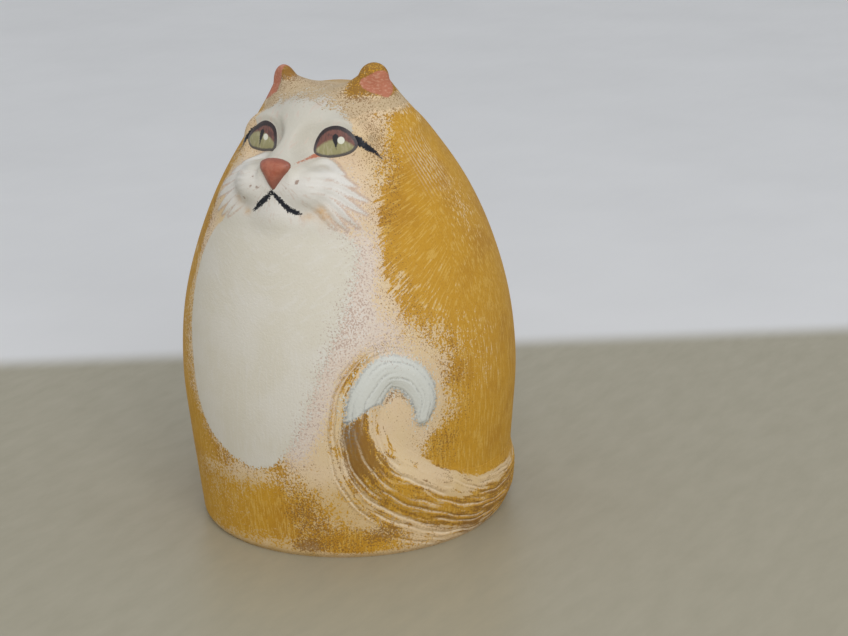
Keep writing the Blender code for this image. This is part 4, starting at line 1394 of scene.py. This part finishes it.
class BrushedPaint(Finish):
    """Matte paint, brushed and spattered in layers over cream clay."""

    def __init__(self, name):
        super().__init__(name)
        self.cloud = self.noise(self.place, 0.11, 2.0)
        self.patch = self.noise(self.place, 0.42, 2.0)
        self.grain = self.noise(self.place, 2.5, 2.0)
        self.fine = self.noise(self.place, 4.6)
        self.other = self.noise(self.vector_math("ADD", self.place, (31.0, 17.0, 5.0)), 3.4)
        self.mottle = self.blend(0.5, self.grain, self.other)
        self.whorl = self.noise(self.vector("whorl"), 1.5, 2.0)
        self.strand = self.noise(self.vector("comb"), 1.7, 2.0, (1.0, 0.13, 0.0))
        upright = self.noise(self.place, 2.7, 2.0, (1.0, 1.0, 0.11))
        sweep = self.noise(self.vector("sweep"), 2.4, 2.0)
        self.strokes = self.blend(self.value("slant"), upright, sweep)
        lane, _, self.combed = self.parts("comb")
        self.off_hair = lane.off_whole()
        ground = self.mix(self.cloud, CREAM, CREAM_PEACH)
        self.colour = self.mix(self.fine * 0.45, ground, CREAM_LIGHT)

    def cover(self, *coats):
        self.colour = self.layered(self.colour, *coats)

    def lay_ochre(self):
        """A thin wash, dusty places, and dabs that follow the brush. Returns where the dabs are."""
        tone = self.layered(
            OCHRE,
            (self.cloud.step(0.35, 0.9) * 0.55, OCHRE_DEEP),
            (self.strokes.step(0.50, 0.80) * 0.62, OCHRE_PALE),
            (self.other.step(0.60, 0.95) * 0.45, OCHRE_DEEP),
        )
        brushed = self.blend(self.value("spatter"), self.blend(0.25, self.strokes, self.grain), self.grain)
        dabs = self.blend(self.value("tail"), brushed, self.blend(0.35, self.strand, self.grain))
        ochre = self.spatter(self.value("ochre") + (self.patch - 0.5) * 0.26, dabs)
        self.cover(
            (self.value("ochre").step(0.30, 1.05) * 0.74, OCHRE_PALE),
            (self.value("dusty") * self.blend(self.patch, 0.7, 1.3), OCHRE_DUSTY),
            (ochre * 0.94, tone),
        )
        return ochre

    def lay_specks(self):
        """Tan strokes on the crown, brown specks, and pinkish white ones beside the bib."""
        combed = self.noise(self.vector("whorl"), 1.2, 2.0)
        tan = self.spatter(self.value("tan"), self.blend(0.55, self.grain, combed), 0.18)
        on_body, on_tail = self.blend(0.35, self.fine, self.other), self.blend(0.45, self.strand, self.fine)
        amount = self.value("brown") * (self.cloud * 0.5 + 0.7)
        brown = self.spatter(amount, self.blend(self.value("tail"), on_body, on_tail), 0.06)
        pink = self.spatter(self.value("pink"), self.mottle, 0.08)
        self.cover((tan * 0.75, TAN), (brown * 0.72, BROWN), (pink * 0.85, PINK_WHITE))

    def lay_hairs(self):
        """Pale hairs of the tail with brown between them, and pale scored lines. Returns where those are."""
        between = self.off_hair.step(0.20, 0.40) * self.combed * 0.42
        hairs = (1.0 - self.off_hair.step(0.04, 0.24)) * (self.combed * self.mottle.step(0.22, 0.50))
        lane, _, shown = self.parts("score")
        scored = (1.0 - lane.off_whole().step(0.10, 0.30)) * shown
        self.cover(
            (between * self.grain.step(0.2, 0.7), BROWN),
            (hairs * 0.80, CREAM_LIGHT),
            (scored * self.strokes.step(0.2, 0.5) * 0.55, CREAM_LIGHT),
        )
        return scored

    def lay_white(self):
        """The bib, the face and the tail's tip. Returns where they are."""
        face, muzzle = self.value("face"), self.value("muzzle")
        ragged = (self.blend(0.30, self.mottle, self.strokes) - 0.5) * (self.value("white_soft") * 2.4)
        white = (self.value("white") + ragged).step(-0.14, 0.14)
        brushed = self.blend(face, self.strokes, self.whorl)
        tone = self.layered(
            WHITE,
            (self.cloud.step(0.3, 0.8) * 0.35, WHITE_BRIGHT),
            # painted shade: the white of the upper face, above the muzzle, is made darker
            (self.math("SUBTRACT", face, muzzle, clamp=True) * 0.85, WHITE_PAINTED_SHADE),
            (muzzle * 0.85, WHITE_BRIGHT),
            (brushed.step(0.5, 0.95) * 0.30, WHITE_BRIGHT),
            (self.whorl.step(0.62, 0.95) * face * 0.34, STRAND_SHADE),
            (self.value("cool") * 0.9, WHITE_COOL),
        )
        self.cover((white * 0.97, tone))
        return white

    def lay_marks(self):
        """White and mauve flecks, lines of the tip, cheek hairs with a shade beside them, peach and slate."""
        pink, cheek, hair = self.value("pink"), self.value("cheek"), self.value("cheek_hair")
        flecks = self.spatter(pink * 0.34, 1.0 - self.other, 0.06)
        mauve = self.spatter(pink * 0.40, self.other, 0.08)
        tip_line = (1.0 - self.off_hair.step(0.05, 0.30)) * (self.value("cool") * self.combed)
        off_hair = self.math("SUBTRACT", cheek, hair.step(-0.10, 0.08), clamp=True)
        beside_hair = hair.step(-0.42, -0.16) * off_hair * self.mottle.step(0.20, 0.60)
        self.cover(
            (flecks * 0.60, WHITE_BRIGHT),
            (mauve * 0.52, MAUVE),
            (tip_line * self.grain.step(0.2, 0.8), SLATE),
            (hair.step(0.02, 0.22) * cheek * 0.85, WHITE_BRIGHT),
            (beside_hair * 0.72, STRAND_SHADE),
            (self.value("peach") * self.blend(self.blend(0.5, self.grain, self.whorl), 0.25, 1.0), PEACH),
            # painted shade in slate round the tail's tip and over the dark hairs below it
            (self.value("shade") * self.blend(0.4, self.grain, self.strokes).step(0.25, 0.75), SLATE),
        )

    def lay_strokes(self):
        """Coral, freckles and the ink of the mouth and the eyes' wings. Returns where the ink is."""
        wobble = (self.blend(0.5, self.grain, self.fine) - 0.5) * 0.30
        ragged = (self.blend(0.6, self.grain, self.fine) - 0.5) * 0.55
        worn = self.noise(self.place, 1.6, 2.0, (1.0, 1.0, 2.2)).step(0.45, 0.95)
        ink = (self.value("line") + ragged).step(-0.08, 0.08)
        self.cover(
            ((self.value("coral") + wobble).step(-0.12, 0.12), self.mix(worn, CORAL, CORAL_LIGHT)),
            ((self.value("freckle") + wobble).step(-0.1, 0.1) * 0.75, FRECKLE),
            (ink, INK),
        )
        return ink


def painted(name):
    """The cat's paint, coat by coat."""
    t = BrushedPaint(name)
    ochre = t.lay_ochre()
    t.lay_specks()
    scored = t.lay_hairs()
    white = t.lay_white()
    t.lay_marks()
    ink = t.lay_strokes()
    rough = t.blend(ink, t.blend(t.grain * 0.5, 0.60, 0.78), 0.34)
    relief = t.blend(0.5, t.blend(0.4, t.strokes, t.fine), t.grain)
    relief = relief + ochre * 0.35 + white * 0.55 - scored * 0.8
    return t.finish(t.colour, rough, relief, 0.045, specular=0.22)


def eye_paint(name):
    """Satin iris, olive below and maroon above, in a dark outline."""
    t = Finish(name)
    grain = t.noise(t.place, 3.0, 2.0)
    fine = t.noise(t.place, 7.0)
    rays = t.noise(t.place, 2.4, 2.0, (1.0, 1.0, 0.3))
    wobble = (t.blend(0.5, grain, fine) - 0.5) * 0.22
    olive = t.mix(rays.step(0.4, 0.9), OLIVE, OLIVE_PALE)
    maroon = t.mix(rays.step(0.35, 0.85), MAROON, MAROON_DARK)
    outline = 1.0 - (t.value("rim") + wobble).step(-0.12, 0.14)
    colour = t.layered(
        maroon,
        ((t.value("olive") + wobble).step(-0.28, 0.28), olive),
        ((t.value("pupil") + wobble).step(-0.10, 0.10), LID),
        (t.value("glint").step(-0.08, 0.08), GLINT),
        (outline * t.blend(grain, 0.80, 1.0), t.mix(t.value("height_up").step(-0.9, 0.6), LID_LOWER, LID)),
    )
    return t.finish(colour, t.blend(grain, 0.30, 0.42), fine, 0.010, coat=0.15, specular=0.35)


def nose_paint(name):
    """Satin coral, darker towards its rim, with painted shade over its lower part."""
    t = Finish(name)
    patch = t.noise(t.place, 0.8, 2.0)
    grain = t.noise(t.place, 3.0, 2.0)
    rim = t.value("rim") + (grain - 0.5) * 0.5
    colour = t.layered(
        NOSE_CORAL,
        (patch.step(0.25, 0.8) * 0.5, NOSE_LIGHT),
        # painted shade: maroon over the lower part of the nose
        (t.value("height_up").step(0.6, -1.6) * 0.40, MAROON),
        (rim.step(0.9, 0.0) * 0.45, MAROON),
        (grain.step(0.55, 0.95) * 0.22, MAROON),
    )
    rough, relief = t.blend(grain, 0.28, 0.46), t.blend(0.5, grain, patch)
    return t.finish(colour, rough, relief, 0.05, coat=0.1, specular=0.35)


def bare_clay(name):
    """Unpainted fired clay."""
    t = Finish(name)
    patch = t.noise(t.place, 0.25, 3.0)
    grain = t.noise(t.place, 3.0, 3.0)
    specks = t.noise(t.place, 1.4).step(0.78, 0.92) * 0.7
    colour = t.layered(CLAY, (patch, CREAM_PEACH), (specks, CLAY_DARK), (grain * 0.25, CLAY_DARK))
    return t.finish(colour, t.blend(grain, 0.78, 0.92), t.blend(0.3, grain, patch), 0.08)


def camera():
    azimuth = math.radians(CAMERA_AZIMUTH)
    elevation = math.radians(CAMERA_ELEVATION)
    level = Vector((math.sin(azimuth), -math.cos(azimuth), 0.0))
    back = level * math.cos(elevation) + Vector((0, 0, math.sin(elevation)))
    centre = Vector(CAMERA_CENTRE)
    place = centre + back * CAMERA_DISTANCE
    right = Vector((math.cos(azimuth), math.sin(azimuth), 0.0))
    up = right.cross(-back)
    aim = centre + right * CAMERA_AIM[0] + up * CAMERA_AIM[1]
    data = bpy.data.cameras.new("camera")
    data.lens = CAMERA_LENS
    data.sensor_width = CAMERA_SENSOR
    obj = bpy.data.objects.new("camera", data)
    turn = (aim - place).to_track_quat("-Z", "Y").to_matrix().to_4x4()
    roll = Matrix.Rotation(math.radians(CAMERA_ROLL), 4, "Z")
    obj.matrix_world = Matrix.Translation(place * MM) @ turn @ roll
    bpy.context.scene.collection.objects.link(obj)
    bpy.context.scene.camera = obj


def floor_material():
    """A soft table tone, turning to a paler one well behind the figurine."""
    t = Finish("floor")
    azimuth = math.radians(CAMERA_AZIMUTH)
    away = t.vector_math("DOT_PRODUCT", t.place, (-math.sin(azimuth), math.cos(azimuth), 0.0))
    weave = t.noise(t.place, 0.30, 3.0, (1.0, 0.35, 1.0))
    cloud = t.noise(t.place, 0.02, 2.0)
    table = t.mix(weave * 0.30, TABLE_TONE, tuple(0.80 * part for part in TABLE_TONE))
    wall = t.mix(cloud * 0.5, WALL_TONE, tuple(0.90 * part for part in WALL_TONE))
    colour = t.mix(away.step(TABLE_BACK - TABLE_FADE, TABLE_BACK + TABLE_FADE), table, wall)
    return t.finish(colour, t.blend(weave, 0.34, 0.46), weave, 0.02)


def stage():
    """A pale floor, and soft light from the upper right."""
    corners = [(x * FLOOR_SPAN, y * FLOOR_SPAN, 0.0) for x in (-1, 1) for y in (-1, 1)]
    new_piece("floor", np.array(corners), [(0, 2, 3, 1)], floor_material(), {})
    world = bpy.data.worlds.new("studio")
    bpy.context.scene.world = world
    world.use_nodes = True
    background = world.node_tree.nodes["Background"]
    background.inputs["Color"].default_value = WORLD_COLOUR
    background.inputs["Strength"].default_value = WORLD_STRENGTH
    light = bpy.data.lights.new("key", "AREA")
    light.energy = KEY_WATTS
    light.size = KEY_SIZE
    obj = bpy.data.objects.new("key", light)
    turn = (Vector(KEY_AIM) - Vector(KEY_PLACE)).to_track_quat("-Z", "Y").to_matrix().to_4x4()
    obj.matrix_world = Matrix.Translation(KEY_PLACE) @ turn
    bpy.context.scene.collection.objects.link(obj)
    bpy.context.scene.view_settings.view_transform = "Standard"


def main():
    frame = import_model()
    camera()
    stage()
    skin = Skin()
    paint = Paint(skin)
    grid = Grid(skin, paint)
    found = regions(grid)
    patch_paint = {slot: painted(slot) for slot in ("painted_ears", "painted_face")}
    for name, within in found.items():
        slot = "painted_ears" if name.startswith("ear") else "painted_face"
        patch_piece(name, grid, within, patch_paint[slot])
    body_piece(grid, skin, found, painted("painted_body"))
    tail_piece(skin, paint, painted("painted_tail"))
    eyes = eye_paint("painted_eyes")
    for side, word in SIDES.items():
        outline = EYE_OUTLINES[side]
        button(f"eye_{word}", eyes, skin.eye, side, outline, EYE_RISE, eye_fields(side))
    nose = nose_paint("painted_nose")
    button("nose", nose, skin.nose, 1, NOSE_OUTLINE, NOSE_RISE, nose_fields)
    disc = frame["nodes"]["base_disc"]
    disc.data.materials.clear()
    disc.data.materials.append(bare_clay("bare_clay"))


main()
